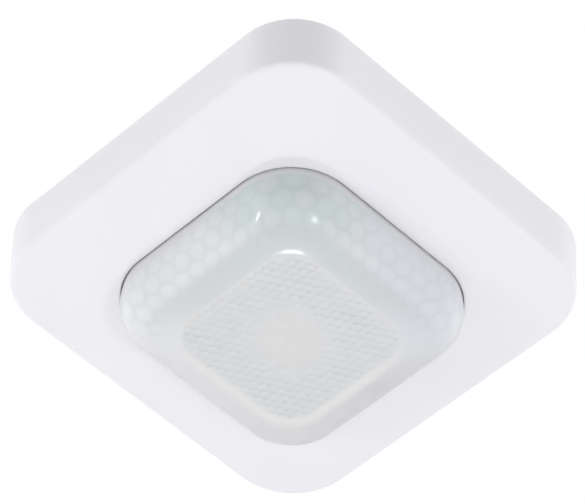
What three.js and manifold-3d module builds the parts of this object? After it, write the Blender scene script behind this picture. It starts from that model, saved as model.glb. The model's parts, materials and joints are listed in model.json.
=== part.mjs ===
// Ceiling motion sensor: a square cover and lens over a sensor head that plugs into a power unit.
// Millimetres, +Z up into the ceiling. The origin is the middle of the ceiling plane, and the
// lens looks down along -Z.

import * as THREE from 'three';
import { mergeVertices } from 'three/addons/utils/BufferGeometryUtils.js';
import Module from 'manifold-3d';

const wasm = await Module();
wasm.setup();

// ---- Driving dimensions ------------------------------------------------------------------

const GAP = 0.3;                 // clearance between pieces that rest on each other
const CORNER_STEPS = 6;          // facets in each rounded corner
const ROUND_STEPS = 20;          // facets round a small cylinder
const RIGHT_ANGLE = Math.PI / 2;

const COVER = {
  half: 60,                      // half of the square's side
  radius: 19.5,                  // corner radius at the front edge
  backRadius: 18.5,
  wall: 2,
  back: -0.3,                    // edge next to the ceiling
  edge: -19.3,                   // outer end of the sloping front face
  rim: -24.2,                    // crest of the rim round the lens
  round: 1.4,                    // rounding between the side walls and the front face
};
const APERTURE = { half: 38.5, radius: 19.3, lipWall: 1.6, lipTop: -20, round: 0.6 };
const GRIP_RIB = { along: 34, length: 10, depth: 0.9, low: -7, high: -5 };

const LENS = {
  fit: 0.4,                      // clearance to the cover's aperture
  wall: 1.2,
  skirtTop: -16.3,
  shoulder: -23.6,               // where the skirt ends and the visible bowl begins
  front: -39.8,
  faceHalf: 23.8,
  middleRadius: 12.9,            // draws the corner radius in half way down the bowl
  faceRadius: 10.5,
  acrossPower: 1.79,             // 2 is an elliptical bowl, and less leaves the face more sharply
  downPower: 2.45,               // more than 2 keeps the bowl full below the skirt
  steps: 8,
};

const PLATE = { half: 57, radius: 16, low: -2, dish: 34, dishFloor: -0.4 };
const PLATE_WINDOW = { x: 22, y: 12 };
const SLOT = { spacing: 60, width: 4.2, length: 8 };
const RETAINER = { inner: 55.4, outer: 56.8, halfWidth: 6, low: -9 };
const BOX_SCREW = { shank: 1.5, head: 3.4, headLow: -4.2, headHigh: -2.3, tip: 18 };

const CASE = {
  radius: 24.5,
  wall: 1.6,
  flange: 27,
  low: -0.1,
  flangeTop: 1.4,
  ceiling: 36.4,                 // inner face of the closed end
  top: 38,
};
const LID = { low: 0.2, high: 1.7 };
const POWER_BOARD = { radius: 22.2, low: 8, high: 9.6 };
const SOCKET = { x: 16, y: 7, low: -1.6, cavityX: 13.2, cavityY: 4.4, cavityTop: 4.4 };
const RELAY = { x: 0, y: 11.3, sizeX: 19, sizeY: 15.4, top: 25.2 };
const TRANSFORMER = {
  x: -14.6,
  y: -3.9,
  top: 21.5,
  cheekX: 9.6,
  cheekY: 11.2,
  cheekHeight: 2.4,
  coreX: 8.2,
  coreY: 9.6,
};
const BULK_CAPACITOR = { x: 4, y: -2, radius: 4.5, bevel: 0.4, top: 24.9 };
const FILTER_CAPACITOR = { x: 1, y: -12, sizeX: 13, sizeY: 6, top: 21 };
const VARISTOR = { x: 14, y: -5, radius: 5, thickness: 4 };

const TERMINALS = {
  poles: 4,
  pitch: 6.4,
  halfX: 13,
  near: -18,
  far: -7,
  low: 26,
  top: 39,
  cavityX: 5,
  cavityNear: -16.8,
  cavityFar: -8.2,
  cavityTop: 34,
};
const WIRE_HOLE = { radius: 1.5, y: -15 };
const CLAMP = { width: 4.2, near: -16.4, far: -8.6, low: 26.4, high: 30.5, strip: 0.8 };
const RELEASE = { x: 3, y: 2.8, centreY: -10.7, low: 33, high: 39.9 };

const TRAY = { half: 55, radius: 15, wall: 1.6, floor: -4, top: -2.4, rim: -14.2 };
const POST = { offset: 40, radius: 3, low: -6.7, peg: 1.2, bore: 1.5 };
const BOARD = { half: 50, radius: 10, low: -8.6, high: -7, hole: 1.8 };
const SEAT = BOARD.low - GAP;    // level at which components stand off the board
const BOARD_SCREW = { shank: 1.2, head: 2.8, headHeight: 1.5, tip: -4.6 };
const PLUG = { x: 15, y: 6, shoulder: -2, bladeX: 12.4, bladeY: 3.6, tip: 3.4 };

const FRONT = {
  low: -16,
  high: -14.5,
  opening: 35.3,
  openingRadius: 16.1,
  collar: 1.2,
  collarLow: -19,
};
const DIAL = {
  x: 20,
  y: 46.5,
  radius: 5.2,
  low: -17.2,
  high: -14.2,
  stem: 1.8,
  stemTop: -10.4,
  fit: 0.4,
  slotWidth: 1.2,
  slotDepth: 1.1,
  steps: 32,
};
const TRIMMER = { x: 8, y: 7, low: -13.9, boreTop: -10 };
const DIP = { x: -16, y: -46, sizeX: 11, sizeY: 7.6, low: -16.6, pitch: 2.54, count: 4 };
const DIP_SLOT = { x: 1.8, y: 4.4, top: -14 };
const DIP_SLIDER = { x: 1.2, y: 2.2, low: -17.5, high: -14.3 };
const BUTTON = {
  x: 16,
  y: -46,
  radius: 2.6,
  low: -17,
  high: -12.9,
  flange: 3.6,
  flangeLow: -14.2,
  flangeHigh: -13.2,
};
const BUTTON_BASE = { size: 6, low: -12 };

const CARRIER = { apexHalf: 9, baseHalf: 22.1, radius: 1.2, apex: -22, bore: 2.6 };
const FACET_TILT = 0.75 * Math.PI;   // turns +Z to point outward and down at 45 degrees
const CAN = { radius: 4.15, flange: 4.6, flangeHeight: 0.5, low: -3.4, high: 0.8, seat: 4.9 };
const CAN_WINDOW = { x: 3.4, y: 4.4, low: 0.2, high: 0.7 };
const RAIL = { y: 6.2, width: 1.2, halfLength: 7, height: 1.2 };
const SHUTTER = {
  start: -8.6,
  end: -2.6,
  halfWidth: 7.7,
  sheet: 0.7,
  top: 2.2,
  legLow: 0.3,
  leg: 0.6,
};
const SHUTTER_TAB = { start: -8.2, end: -7.4, halfWidth: 2, top: 4.2 };
const LIGHT_GUIDE = { radius: 2.2, tip: -24.5, top: -10.5 };
const LIGHT_SENSOR = { x: 0, y: 0, sizeX: 3, sizeY: 2.4, height: 1.1 };
const STATUS_LED = { x: -26, y: 26, sizeX: 3.2, sizeY: 2.8, height: 1.9 };
const CONTROLLER = { x: 28.5, y: 0, sizeX: 9, sizeY: 9, height: 1.4 };
const RECEIVER = { x: 26, y: -26, radius: 2.8, height: 7, shoulder: 4.6 };

// ---- Materials ---------------------------------------------------------------------------

function finish(color, roughness, metalness = 0) {
  return new THREE.MeshStandardMaterial({ color, roughness, metalness });
}

const MATERIALS = {
  cover: finish(0xeeeef2, 0.42),
  lens: finish(0xdde2e2, 0.2),
  module: finish(0xe6e6e8, 0.5),
  power: finish(0xd9dadd, 0.55),
  black: finish(0x1b1c1e, 0.6),
  board: finish(0x1d5a3a, 0.45),
  steel: finish(0xb9bcc0, 0.3, 1),
  copper: finish(0xc08a54, 0.35, 1),
  filter: finish(0x2a2230, 0.1),
  clear: finish(0xe8f0f2, 0.08),
  relay: finish(0x2f62a8, 0.4),
  yellow: finish(0xd9b23a, 0.45),
  orange: finish(0xd9662a, 0.4),
  control: finish(0x5b6168, 0.5),
  slider: finish(0xf4f4f4, 0.5),
};

// ---- Shape helpers -----------------------------------------------------------------------

function toSolid(geometry) {
  const bare = geometry.clone();
  bare.deleteAttribute('normal');
  bare.deleteAttribute('uv');
  const merged = mergeVertices(bare, 1e-5);
  const vertProperties = new Float32Array(merged.attributes.position.array);
  const triVerts = new Uint32Array(merged.index.array);
  return new wasm.Manifold(new wasm.Mesh({ numProp: 3, vertProperties, triVerts }));
}

function toGeometry(solid) {
  const mesh = solid.getMesh();
  const geometry = new THREE.BufferGeometry();
  geometry.setAttribute('position', new THREE.BufferAttribute(mesh.vertProperties, 3));
  geometry.setIndex(new THREE.BufferAttribute(mesh.triVerts, 1));
  return geometry;
}

function join(geometry, ...others) {
  return toGeometry(others.reduce((solid, other) => solid.add(toSolid(other)), toSolid(geometry)));
}

function cut(geometry, ...tools) {
  return toGeometry(tools.reduce((solid, tool) => solid.subtract(toSolid(tool)), toSolid(geometry)));
}

/** A block between two levels, centred on x, y. */
function block(sizeX, sizeY, low, high, x = 0, y = 0) {
  const geometry = new THREE.BoxGeometry(sizeX, sizeY, high - low);
  return geometry.translate(x, y, (low + high) / 2);
}

/** An upright cylinder between two levels. */
function rod(radius, low, high, x = 0, y = 0, steps = ROUND_STEPS) {
  const geometry = new THREE.CylinderGeometry(radius, radius, high - low, steps);
  return geometry.rotateX(RIGHT_ANGLE).translate(x, y, (low + high) / 2);
}

/** A turned solid about Z from [radius, z] points that rise up its outside. */
function turned(profile, x = 0, y = 0, steps = ROUND_STEPS) {
  const points = profile.map(([radius, z]) => new THREE.Vector2(radius, z));
  return new THREE.LatheGeometry(points, steps).rotateX(RIGHT_ANGLE).translate(x, y, 0);
}

/** The outline of a square with rounded corners, counter-clockwise. */
function squareOutline(half, radius) {
  const points = [];
  const reach = half - radius;
  const pivot = new THREE.Vector2();
  for (let corner = 0; corner < 4; corner += 1) {
    const centre = new THREE.Vector2(reach, reach).rotateAround(pivot, corner * RIGHT_ANGLE);
    for (let step = 0; step <= CORNER_STEPS; step += 1) {
      const angle = (corner + step / CORNER_STEPS) * RIGHT_ANGLE;
      points.push([centre.x + radius * Math.cos(angle), centre.y + radius * Math.sin(angle)]);
    }
  }
  return points;
}

/**
 * A body through rounded squares [half, radius, z] taken in turn. A closed loop of them makes a
 * frame with a hole through it, and an open stack is capped at both ends.
 */
function loft(rings, closed = false) {
  const perRing = 4 * (CORNER_STEPS + 1);
  const positions = rings.flatMap(([half, radius, z]) =>
    squareOutline(half, radius).flatMap(([x, y]) => [x, y, z]));
  const index = [];
  const spans = closed ? rings.length : rings.length - 1;
  for (let ring = 0; ring < spans; ring += 1) {
    const here = ring * perRing;
    const next = ((ring + 1) % rings.length) * perRing;
    for (let i = 0; i < perRing; i += 1) {
      const j = (i + 1) % perRing;
      index.push(here + i, here + j, next + j, here + i, next + j, next + i);
    }
  }
  if (!closed) {
    const last = (rings.length - 1) * perRing;
    for (let i = 1; i < perRing - 1; i += 1) {
      index.push(0, i + 1, i, last, last + i, last + i + 1);
    }
  }
  const geometry = new THREE.BufferGeometry();
  geometry.setAttribute('position', new THREE.Float32BufferAttribute(positions, 3));
  geometry.setIndex(index);
  return geometry;
}

const assembly = new THREE.Group();

function add(name, geometry, material, parent = assembly) {
  const mesh = new THREE.Mesh(geometry, material);
  mesh.name = name;
  parent.add(mesh);
  return mesh;
}

// ---- Cover -------------------------------------------------------------------------------

function coverShell() {
  const { half, radius, backRadius, wall, back, edge, rim, round } = COVER;
  const crest = APERTURE.half + APERTURE.round;
  const lip = APERTURE.half + APERTURE.lipWall;
  const inside = half - wall;
  return loft([
    [crest, APERTURE.radius + APERTURE.round, rim],
    [half - round, radius - round / 2, edge],
    [half - 0.3 * round, radius - 0.15 * round, edge + 0.3 * round],
    [half, radius, edge + round],
    [half, backRadius, back],
    [inside, backRadius - wall, back],
    [inside, radius - wall, edge + wall + 0.4],
    [inside - 1, radius - wall, edge + wall - 0.2],
    [lip, APERTURE.radius + APERTURE.lipWall, rim + wall + 0.4],
    [lip, APERTURE.radius + APERTURE.lipWall, APERTURE.lipTop],
    [APERTURE.half, APERTURE.radius, APERTURE.lipTop],
    [APERTURE.half, APERTURE.radius, rim + APERTURE.round],
  ], true);
}

/** Two ribs on each inside wall that press on the edge of the mounting plate. */
function coverWithRibs() {
  const ribs = [];
  const bite = 0.4;
  const inside = COVER.half - COVER.wall;
  for (let side = 0; side < 4; side += 1) {
    for (const along of [-GRIP_RIB.along, GRIP_RIB.along]) {
      const rib = block(GRIP_RIB.depth + bite, GRIP_RIB.length, GRIP_RIB.low, GRIP_RIB.high,
        inside + (bite - GRIP_RIB.depth) / 2, along);
      ribs.push(rib.rotateZ(side * RIGHT_ANGLE));
    }
  }
  return join(coverShell(), ...ribs);
}

add('cover_frame', coverWithRibs(), MATERIALS.cover);

// ---- Lens --------------------------------------------------------------------------------

/** [half, radius, z] squares from the front face up the bowl to its shoulder. */
function lensBowl(inset) {
  const { fit, shoulder, front, faceHalf, middleRadius, faceRadius, steps } = LENS;
  const skirtHalf = APERTURE.half - fit;
  const skirtRadius = APERTURE.radius - fit;
  const radii = new THREE.QuadraticBezierCurve(
    new THREE.Vector2(0, faceRadius),
    new THREE.Vector2(0.5, middleRadius),
    new THREE.Vector2(1, skirtRadius),
  );
  return Array.from({ length: steps + 1 }, (_, i) => {
    const angle = (i / steps) * RIGHT_ANGLE;
    const half = faceHalf + (skirtHalf - faceHalf) * Math.sin(angle) ** (2 / LENS.acrossPower);
    const z = shoulder + (front - shoulder) * Math.cos(angle) ** (2 / LENS.downPower);
    return [half - inset, radii.getPoint(i / steps).y - inset, z + inset];
  });
}

function lensShell() {
  const half = APERTURE.half - LENS.fit;
  const radius = APERTURE.radius - LENS.fit;
  return loft([
    ...lensBowl(0),
    [half, radius, LENS.skirtTop],
    [half - LENS.wall, radius - LENS.wall, LENS.skirtTop],
    ...lensBowl(LENS.wall).reverse(),
  ]);
}

add('lens', lensShell(), MATERIALS.lens);

// ---- Mounting plate and its screws -------------------------------------------------------

function mountingPlate() {
  const { half, radius, low, dish, dishFloor } = PLATE;
  const plate = loft([[half, radius, low], [half, radius, 0]]);
  const arms = [];
  const armMiddle = (RETAINER.outer + RETAINER.inner) / 2;
  for (let side = 0; side < 4; side += 1) {
    const arm = block(RETAINER.outer - RETAINER.inner, 2 * RETAINER.halfWidth,
      RETAINER.low, low + 1, armMiddle);
    arms.push(arm.rotateZ(side * RIGHT_ANGLE));
  }
  const slots = [-1, 1].map((side) =>
    block(SLOT.width, SLOT.length, low - 1, 1, side * SLOT.spacing / 2));
  return cut(join(plate, ...arms),
    rod(dish, dishFloor, 1, 0, 0, 2 * ROUND_STEPS),
    block(PLATE_WINDOW.x, PLATE_WINDOW.y, low - 1, 1),
    ...slots);
}

add('mounting_plate', mountingPlate(), MATERIALS.power);

function boxScrew() {
  const { shank, head, headLow, headHigh, tip } = BOX_SCREW;
  const screw = turned([
    [0, headLow], [0.8 * head, headLow], [head, headLow + 0.5], [head, headHigh],
    [shank, headHigh], [shank, tip - shank], [0, tip],
  ]);
  return cut(screw, block(1, 2 * head, headLow - 1, headLow + 0.8));
}

[-1, 1].forEach((side, i) => {
  const screw = add(`box_screw_${i + 1}`, boxScrew(), MATERIALS.steel);
  screw.position.x = side * SLOT.spacing / 2;
});

// ---- Power unit --------------------------------------------------------------------------

const terminalLength = TERMINALS.far - TERMINALS.near;
const terminalMiddle = (TERMINALS.far + TERMINALS.near) / 2;

function powerCase() {
  const { radius, wall, flange, low, flangeTop, ceiling, top } = CASE;
  const bore = radius - wall;
  const shell = turned([
    [0, ceiling], [bore, ceiling], [bore, low], [flange, low], [flange, flangeTop],
    [radius, flangeTop], [radius, top - 0.8], [radius - 0.8, top], [0, top],
  ], 0, 0, 2 * ROUND_STEPS);
  const window = block(2 * (TERMINALS.halfX + GAP), terminalLength + 2 * GAP, ceiling - 1, top + 1,
    0, terminalMiddle);
  return cut(shell, window);
}

add('power_case', powerCase(), MATERIALS.power);

const lidRadius = CASE.radius - CASE.wall - GAP;
add('power_lid', cut(
  rod(lidRadius, LID.low, LID.high, 0, 0, 2 * ROUND_STEPS),
  block(SOCKET.x + 2 * GAP, SOCKET.y + 2 * GAP, LID.low - 1, LID.high + 1),
), MATERIALS.power);

add('power_board',
  rod(POWER_BOARD.radius, POWER_BOARD.low, POWER_BOARD.high, 0, 0, 2 * ROUND_STEPS),
  MATERIALS.board);

const powerSeat = POWER_BOARD.high + GAP;

add('power_socket', cut(
  block(SOCKET.x, SOCKET.y, SOCKET.low, POWER_BOARD.low - GAP),
  block(SOCKET.cavityX, SOCKET.cavityY, SOCKET.low - 1, SOCKET.cavityTop),
), MATERIALS.black);

/** A block that stands on the power board. */
function onPowerBoard({ x, y, sizeX, sizeY, top }) {
  return block(sizeX, sizeY, powerSeat, top, x, y);
}

add('relay', onPowerBoard(RELAY), MATERIALS.relay);

/** A yellow wound core between two wider end cheeks. */
function transformer() {
  const { x, y, top, cheekX, cheekY, cheekHeight, coreX, coreY } = TRANSFORMER;
  return join(
    block(coreX, coreY, powerSeat + 1, top - 1, x, y),
    block(cheekX, cheekY, powerSeat, powerSeat + cheekHeight, x, y),
    block(cheekX, cheekY, top - cheekHeight, top, x, y),
  );
}

add('transformer', transformer(), MATERIALS.yellow);

function bulkCapacitor() {
  const { x, y, radius, bevel, top } = BULK_CAPACITOR;
  return turned([
    [0, powerSeat], [radius - bevel, powerSeat], [radius, powerSeat + bevel],
    [radius, top - bevel], [radius - bevel, top], [0, top],
  ], x, y);
}

add('bulk_capacitor', bulkCapacitor(), MATERIALS.black);
add('filter_capacitor', onPowerBoard(FILTER_CAPACITOR), MATERIALS.yellow);

/** A disc that stands on edge. */
function varistor() {
  const { x, y, radius, thickness } = VARISTOR;
  const disc = new THREE.CylinderGeometry(radius, radius, thickness, ROUND_STEPS);
  return disc.translate(x, y, powerSeat + radius);
}

add('varistor', varistor(), MATERIALS.orange);

// ---- Terminals ---------------------------------------------------------------------------

const poles = Array.from({ length: TERMINALS.poles },
  (_, i) => (i - (TERMINALS.poles - 1) / 2) * TERMINALS.pitch);

function terminalBlock() {
  const { halfX, low, top, cavityX, cavityNear, cavityFar, cavityTop } = TERMINALS;
  const cheek = { width: 1.5, near: -17.7, far: -10 };
  const body = block(2 * halfX, terminalLength, low, top, 0, terminalMiddle);
  const legs = [-1, 1].map((side) =>
    block(cheek.width, cheek.far - cheek.near, powerSeat, low + 1,
      side * (halfX - cheek.width / 2), (cheek.near + cheek.far) / 2));
  const hollows = poles.flatMap((x) => [
    block(cavityX, cavityFar - cavityNear, low - 1, cavityTop, x, (cavityNear + cavityFar) / 2),
    rod(WIRE_HOLE.radius, cavityTop - 1, top + 1, x, WIRE_HOLE.y),
    block(RELEASE.x + 2 * GAP, RELEASE.y + 2 * GAP, cavityTop - 1, top + 1, x, RELEASE.centreY),
  ]);
  return cut(join(body, ...legs), ...hollows);
}

add('terminal_block', terminalBlock(), MATERIALS.power);

/** A folded strip, open upwards. */
function clampStrip() {
  const { width, near, far, low, high, strip } = CLAMP;
  const fold = new THREE.Shape([
    new THREE.Vector2(near, low), new THREE.Vector2(far, low),
    new THREE.Vector2(far, high), new THREE.Vector2(far - strip, high),
    new THREE.Vector2(far - strip, low + strip), new THREE.Vector2(near + strip, low + strip),
    new THREE.Vector2(near + strip, high), new THREE.Vector2(near, high),
  ]);
  const strap = new THREE.ExtrudeGeometry(fold, { depth: width, bevelEnabled: false });
  return strap.translate(0, 0, -width / 2).rotateX(RIGHT_ANGLE).rotateZ(RIGHT_ANGLE);
}

poles.forEach((x, i) => {
  const clamp = add(`terminal_clamp_${i + 1}`, clampStrip(), MATERIALS.copper);
  clamp.position.x = x;
  const button = block(RELEASE.x, RELEASE.y, RELEASE.low, RELEASE.high, 0, RELEASE.centreY);
  const release = add(`release_button_${i + 1}`, button, MATERIALS.orange);
  release.position.x = x;
});

// ---- Sensor head: tray, board and front plate --------------------------------------------

const postPlaces = [[1, 1], [-1, 1], [-1, -1], [1, -1]]
  .map(([x, y]) => [x * POST.offset, y * POST.offset]);
const screwPlaces = postPlaces.filter((_, i) => i % 2 === 0);
const pegPlaces = postPlaces.filter((_, i) => i % 2 === 1);

function moduleBase() {
  const { half, radius, wall, floor, top, rim } = TRAY;
  const tray = loft([
    [half - wall, radius - wall, floor],
    [half - wall, radius - wall, rim],
    [half, radius, rim],
    [half, radius, top],
  ]);
  const posts = postPlaces.map(([x, y]) => rod(POST.radius, POST.low, floor + 0.5, x, y));
  const pegs = pegPlaces.map(([x, y]) => rod(POST.peg, BOARD.low - 1.4, floor, x, y));
  const bores = screwPlaces.map(([x, y]) => rod(POST.bore, POST.low - 1, floor - GAP, x, y));
  const screwHeads = [-1, 1].map((side) =>
    rod(BOX_SCREW.head + 2, floor - 1, top + 1, side * SLOT.spacing / 2));
  return cut(join(tray, ...posts, ...pegs),
    block(PLUG.x + 3, PLUG.y + 3, floor - 1, top + 1),
    ...screwHeads, ...bores);
}

add('module_base', moduleBase(), MATERIALS.module);

function sensorBoard() {
  const { half, radius, low, high, hole } = BOARD;
  const holes = postPlaces.map(([x, y]) => rod(hole, low - 1, high + 1, x, y));
  return cut(loft([[half, radius, low], [half, radius, high]]), ...holes);
}

add('sensor_board', sensorBoard(), MATERIALS.board);

function boardScrew() {
  const { shank, head, headHeight, tip } = BOARD_SCREW;
  return turned([
    [0, SEAT - headHeight], [0.75 * head, SEAT - headHeight], [head, SEAT - 0.5 * headHeight],
    [head, SEAT], [shank, SEAT], [shank, tip - 0.6], [0, tip],
  ]);
}

screwPlaces.forEach(([x, y], i) => {
  add(`board_screw_${i + 1}`, boardScrew(), MATERIALS.steel).position.set(x, y, 0);
});

add('board_plug', join(
  block(PLUG.x, PLUG.y, BOARD.high + GAP, PLUG.shoulder),
  block(PLUG.bladeX, PLUG.bladeY, PLUG.shoulder - 1, PLUG.tip),
), MATERIALS.black);

function moduleFront() {
  const { low, high, opening, openingRadius, collar, collarLow } = FRONT;
  const plate = loft([
    [TRAY.half, TRAY.radius, low],
    [TRAY.half, TRAY.radius, high],
    [opening, openingRadius, high],
    [opening, openingRadius, collarLow],
    [opening + collar, openingRadius + collar, collarLow],
    [opening + collar, openingRadius + collar, low],
  ], true);
  const dialHoles = [-1, 1].map((side) =>
    rod(DIAL.radius + DIAL.fit, low - 1, high + 1, side * DIAL.x, DIAL.y, DIAL.steps));
  return cut(plate, ...dialHoles,
    rod(BUTTON.radius + GAP, low - 1, high + 1, BUTTON.x, BUTTON.y),
    block(DIP.sizeX + 2 * GAP, DIP.sizeY + 2 * GAP, low - 1, high + 1, DIP.x, DIP.y));
}

add('module_front', moduleFront(), MATERIALS.module);

// ---- Sensor head: pyroelectric sensors on their carrier ----------------------------------

const slopeMiddle = (CARRIER.apexHalf + CARRIER.baseHalf) / 2;
const slopeLevel = (CARRIER.apex + SEAT) / 2;
const facetNumbers = [0, 1, 2, 3];

/** Moves a shape made on a flat face at the origin onto one of the carrier's sloping faces. */
function ontoFacet(geometry, facet) {
  const onFirst = geometry.rotateY(FACET_TILT).translate(slopeMiddle, 0, slopeLevel);
  return onFirst.rotateZ(facet * RIGHT_ANGLE);
}

function pyroCarrier() {
  const pyramid = loft([
    [CARRIER.apexHalf, CARRIER.radius, CARRIER.apex],
    [CARRIER.baseHalf, CARRIER.radius, SEAT],
  ]);
  const rails = facetNumbers.flatMap((facet) => [-RAIL.y, RAIL.y].map((y) =>
    ontoFacet(block(2 * RAIL.halfLength, RAIL.width, -0.5, RAIL.height, 0, y), facet)));
  const seats = facetNumbers.map((facet) => ontoFacet(rod(CAN.seat, CAN.low - GAP, 2), facet));
  return cut(join(pyramid, ...rails), ...seats, rod(CARRIER.bore, CARRIER.apex - 1, SEAT + 1));
}

add('pyro_carrier', pyroCarrier(), MATERIALS.module);

function pyroCan() {
  const { radius, flange, flangeHeight, low, high } = CAN;
  const can = turned([
    [0, low], [flange, low], [flange, low + flangeHeight], [radius, low + flangeHeight],
    [radius, high - 0.3], [radius - 0.3, high], [0, high],
  ]);
  const window = block(CAN_WINDOW.x + 2 * GAP, CAN_WINDOW.y + 2 * GAP, CAN_WINDOW.low - GAP, high + 1);
  return cut(can, window);
}

/** A sheet folded down along both rails, with a tab for a fingertip. */
function rangeShutter() {
  const { start, end, halfWidth, sheet, top, legLow, leg } = SHUTTER;
  const middle = (start + end) / 2;
  const length = end - start;
  const legs = [-1, 1].map((side) =>
    block(length, leg, legLow, top, middle, side * (halfWidth - leg / 2)));
  const tab = block(SHUTTER_TAB.end - SHUTTER_TAB.start, 2 * SHUTTER_TAB.halfWidth, top - sheet / 2,
    SHUTTER_TAB.top, (SHUTTER_TAB.start + SHUTTER_TAB.end) / 2, 0);
  return join(block(length, 2 * halfWidth, top - sheet, top, middle, 0), ...legs, tab);
}

for (const facet of facetNumbers) {
  const turn = new THREE.Group();
  turn.rotation.z = facet * RIGHT_ANGLE;
  const slope = new THREE.Group();
  slope.position.set(slopeMiddle, 0, slopeLevel);
  slope.rotation.y = FACET_TILT;
  turn.add(slope);
  assembly.add(turn);
  add(`pyro_can_${facet + 1}`, pyroCan(), MATERIALS.steel, slope);
  const pane = block(CAN_WINDOW.x, CAN_WINDOW.y, CAN_WINDOW.low, CAN_WINDOW.high);
  add(`pyro_window_${facet + 1}`, pane, MATERIALS.filter, slope);
  add(`range_shutter_${facet + 1}`, rangeShutter(), MATERIALS.black, slope);
}

// ---- Sensor head: light sensing, indicator and logic --------------------------------------

add('light_guide', turned([
  [0, LIGHT_GUIDE.tip], [1.2, LIGHT_GUIDE.tip + 0.3], [LIGHT_GUIDE.radius, LIGHT_GUIDE.tip + 1.5],
  [LIGHT_GUIDE.radius, LIGHT_GUIDE.top], [0, LIGHT_GUIDE.top],
]), MATERIALS.clear);

/** A block that stands off the lower side of the sensor board. */
function underBoard({ x, y, sizeX, sizeY, height }) {
  return block(sizeX, sizeY, SEAT - height, SEAT, x, y);
}

add('light_sensor', underBoard(LIGHT_SENSOR), MATERIALS.black);
add('status_led', underBoard(STATUS_LED), MATERIALS.clear);
add('controller_chip', underBoard(CONTROLLER), MATERIALS.black);

/** A domed package for the remote control. */
function irReceiver() {
  const { x, y, radius, height, shoulder } = RECEIVER;
  return turned([
    [0, SEAT - height], [0.65 * radius, SEAT - height + 0.6], [radius, SEAT - shoulder],
    [radius, SEAT], [0, SEAT],
  ], x, y);
}

add('ir_receiver', irReceiver(), MATERIALS.filter);

// ---- Sensor head: dials, switches and button ----------------------------------------------

function trimmer() {
  return cut(block(TRIMMER.x, TRIMMER.y, TRIMMER.low, SEAT),
    rod(DIAL.stem + DIAL.fit, TRIMMER.low - 1, TRIMMER.boreTop));
}

function dial() {
  const { radius, low, high, stem, stemTop, slotWidth, slotDepth, steps } = DIAL;
  const knob = turned([
    [0, low], [radius - 0.4, low], [radius, low + 0.4], [radius, high],
    [stem, high], [stem, stemTop], [0, stemTop],
  ], 0, 0, steps);
  return cut(knob, block(slotWidth, 1.4 * radius, low - 1, low + slotDepth));
}

[['light', -DIAL.x], ['time', DIAL.x]].forEach(([use, x]) => {
  add(`${use}_trimmer`, trimmer(), MATERIALS.relay).position.set(x, DIAL.y, 0);
  add(`${use}_dial`, dial(), MATERIALS.control).position.set(x, DIAL.y, 0);
});

const switchPlaces = Array.from({ length: DIP.count },
  (_, i) => DIP.x + (i - (DIP.count - 1) / 2) * DIP.pitch);
const sliderStart = DIP.y - DIP_SLOT.y / 2 + GAP + DIP_SLIDER.y / 2;

add('dip_housing', cut(
  block(DIP.sizeX, DIP.sizeY, DIP.low, SEAT, DIP.x, DIP.y),
  ...switchPlaces.map((x) => block(DIP_SLOT.x, DIP_SLOT.y, DIP.low - 1, DIP_SLOT.top, x, DIP.y)),
), MATERIALS.relay);

switchPlaces.forEach((x, i) => {
  const slider = block(DIP_SLIDER.x, DIP_SLIDER.y, DIP_SLIDER.low, DIP_SLIDER.high);
  add(`dip_slider_${i + 1}`, slider, MATERIALS.slider).position.set(x, sliderStart, 0);
});

add('button_base',
  block(BUTTON_BASE.size, BUTTON_BASE.size, BUTTON_BASE.low, SEAT, BUTTON.x, BUTTON.y),
  MATERIALS.black);

add('program_button', turned([
  [0, BUTTON.low], [BUTTON.radius - 0.4, BUTTON.low], [BUTTON.radius, BUTTON.low + 0.4],
  [BUTTON.radius, BUTTON.flangeLow], [BUTTON.flange, BUTTON.flangeLow],
  [BUTTON.flange, BUTTON.flangeHigh], [BUTTON.radius, BUTTON.flangeHigh],
  [BUTTON.radius, BUTTON.high], [0, BUTTON.high],
], BUTTON.x, BUTTON.y), MATERIALS.control);

export default assembly;
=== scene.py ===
import json
import math
import random

import bmesh
import bpy
import numpy as np
from mathutils import Matrix, Vector

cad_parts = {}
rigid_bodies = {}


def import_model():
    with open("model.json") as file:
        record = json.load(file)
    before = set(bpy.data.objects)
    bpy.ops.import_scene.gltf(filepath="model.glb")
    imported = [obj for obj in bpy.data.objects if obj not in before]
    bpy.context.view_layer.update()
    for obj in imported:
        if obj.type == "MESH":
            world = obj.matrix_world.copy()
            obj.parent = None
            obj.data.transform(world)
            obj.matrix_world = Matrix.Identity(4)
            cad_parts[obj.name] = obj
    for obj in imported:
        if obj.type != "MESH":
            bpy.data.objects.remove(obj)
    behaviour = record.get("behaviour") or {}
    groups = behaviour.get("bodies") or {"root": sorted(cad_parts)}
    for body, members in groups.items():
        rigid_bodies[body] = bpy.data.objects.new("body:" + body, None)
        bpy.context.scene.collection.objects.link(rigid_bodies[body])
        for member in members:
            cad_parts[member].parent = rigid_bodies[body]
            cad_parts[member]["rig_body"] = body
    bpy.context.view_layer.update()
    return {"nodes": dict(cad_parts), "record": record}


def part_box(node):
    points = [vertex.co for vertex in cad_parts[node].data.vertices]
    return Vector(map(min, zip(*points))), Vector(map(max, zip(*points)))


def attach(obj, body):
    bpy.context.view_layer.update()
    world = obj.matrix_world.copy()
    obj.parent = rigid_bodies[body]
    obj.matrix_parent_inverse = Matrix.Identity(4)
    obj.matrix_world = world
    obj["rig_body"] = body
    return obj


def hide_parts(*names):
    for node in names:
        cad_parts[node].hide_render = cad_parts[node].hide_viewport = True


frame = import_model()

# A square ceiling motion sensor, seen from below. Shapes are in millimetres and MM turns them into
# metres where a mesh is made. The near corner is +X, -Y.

MM = 0.001
SLOTS = {row["node"]: row["material_slot"] for row in frame["record"]["subparts"]}
MATERIALS = {}

# ---- Camera, light and floor ----

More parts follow.
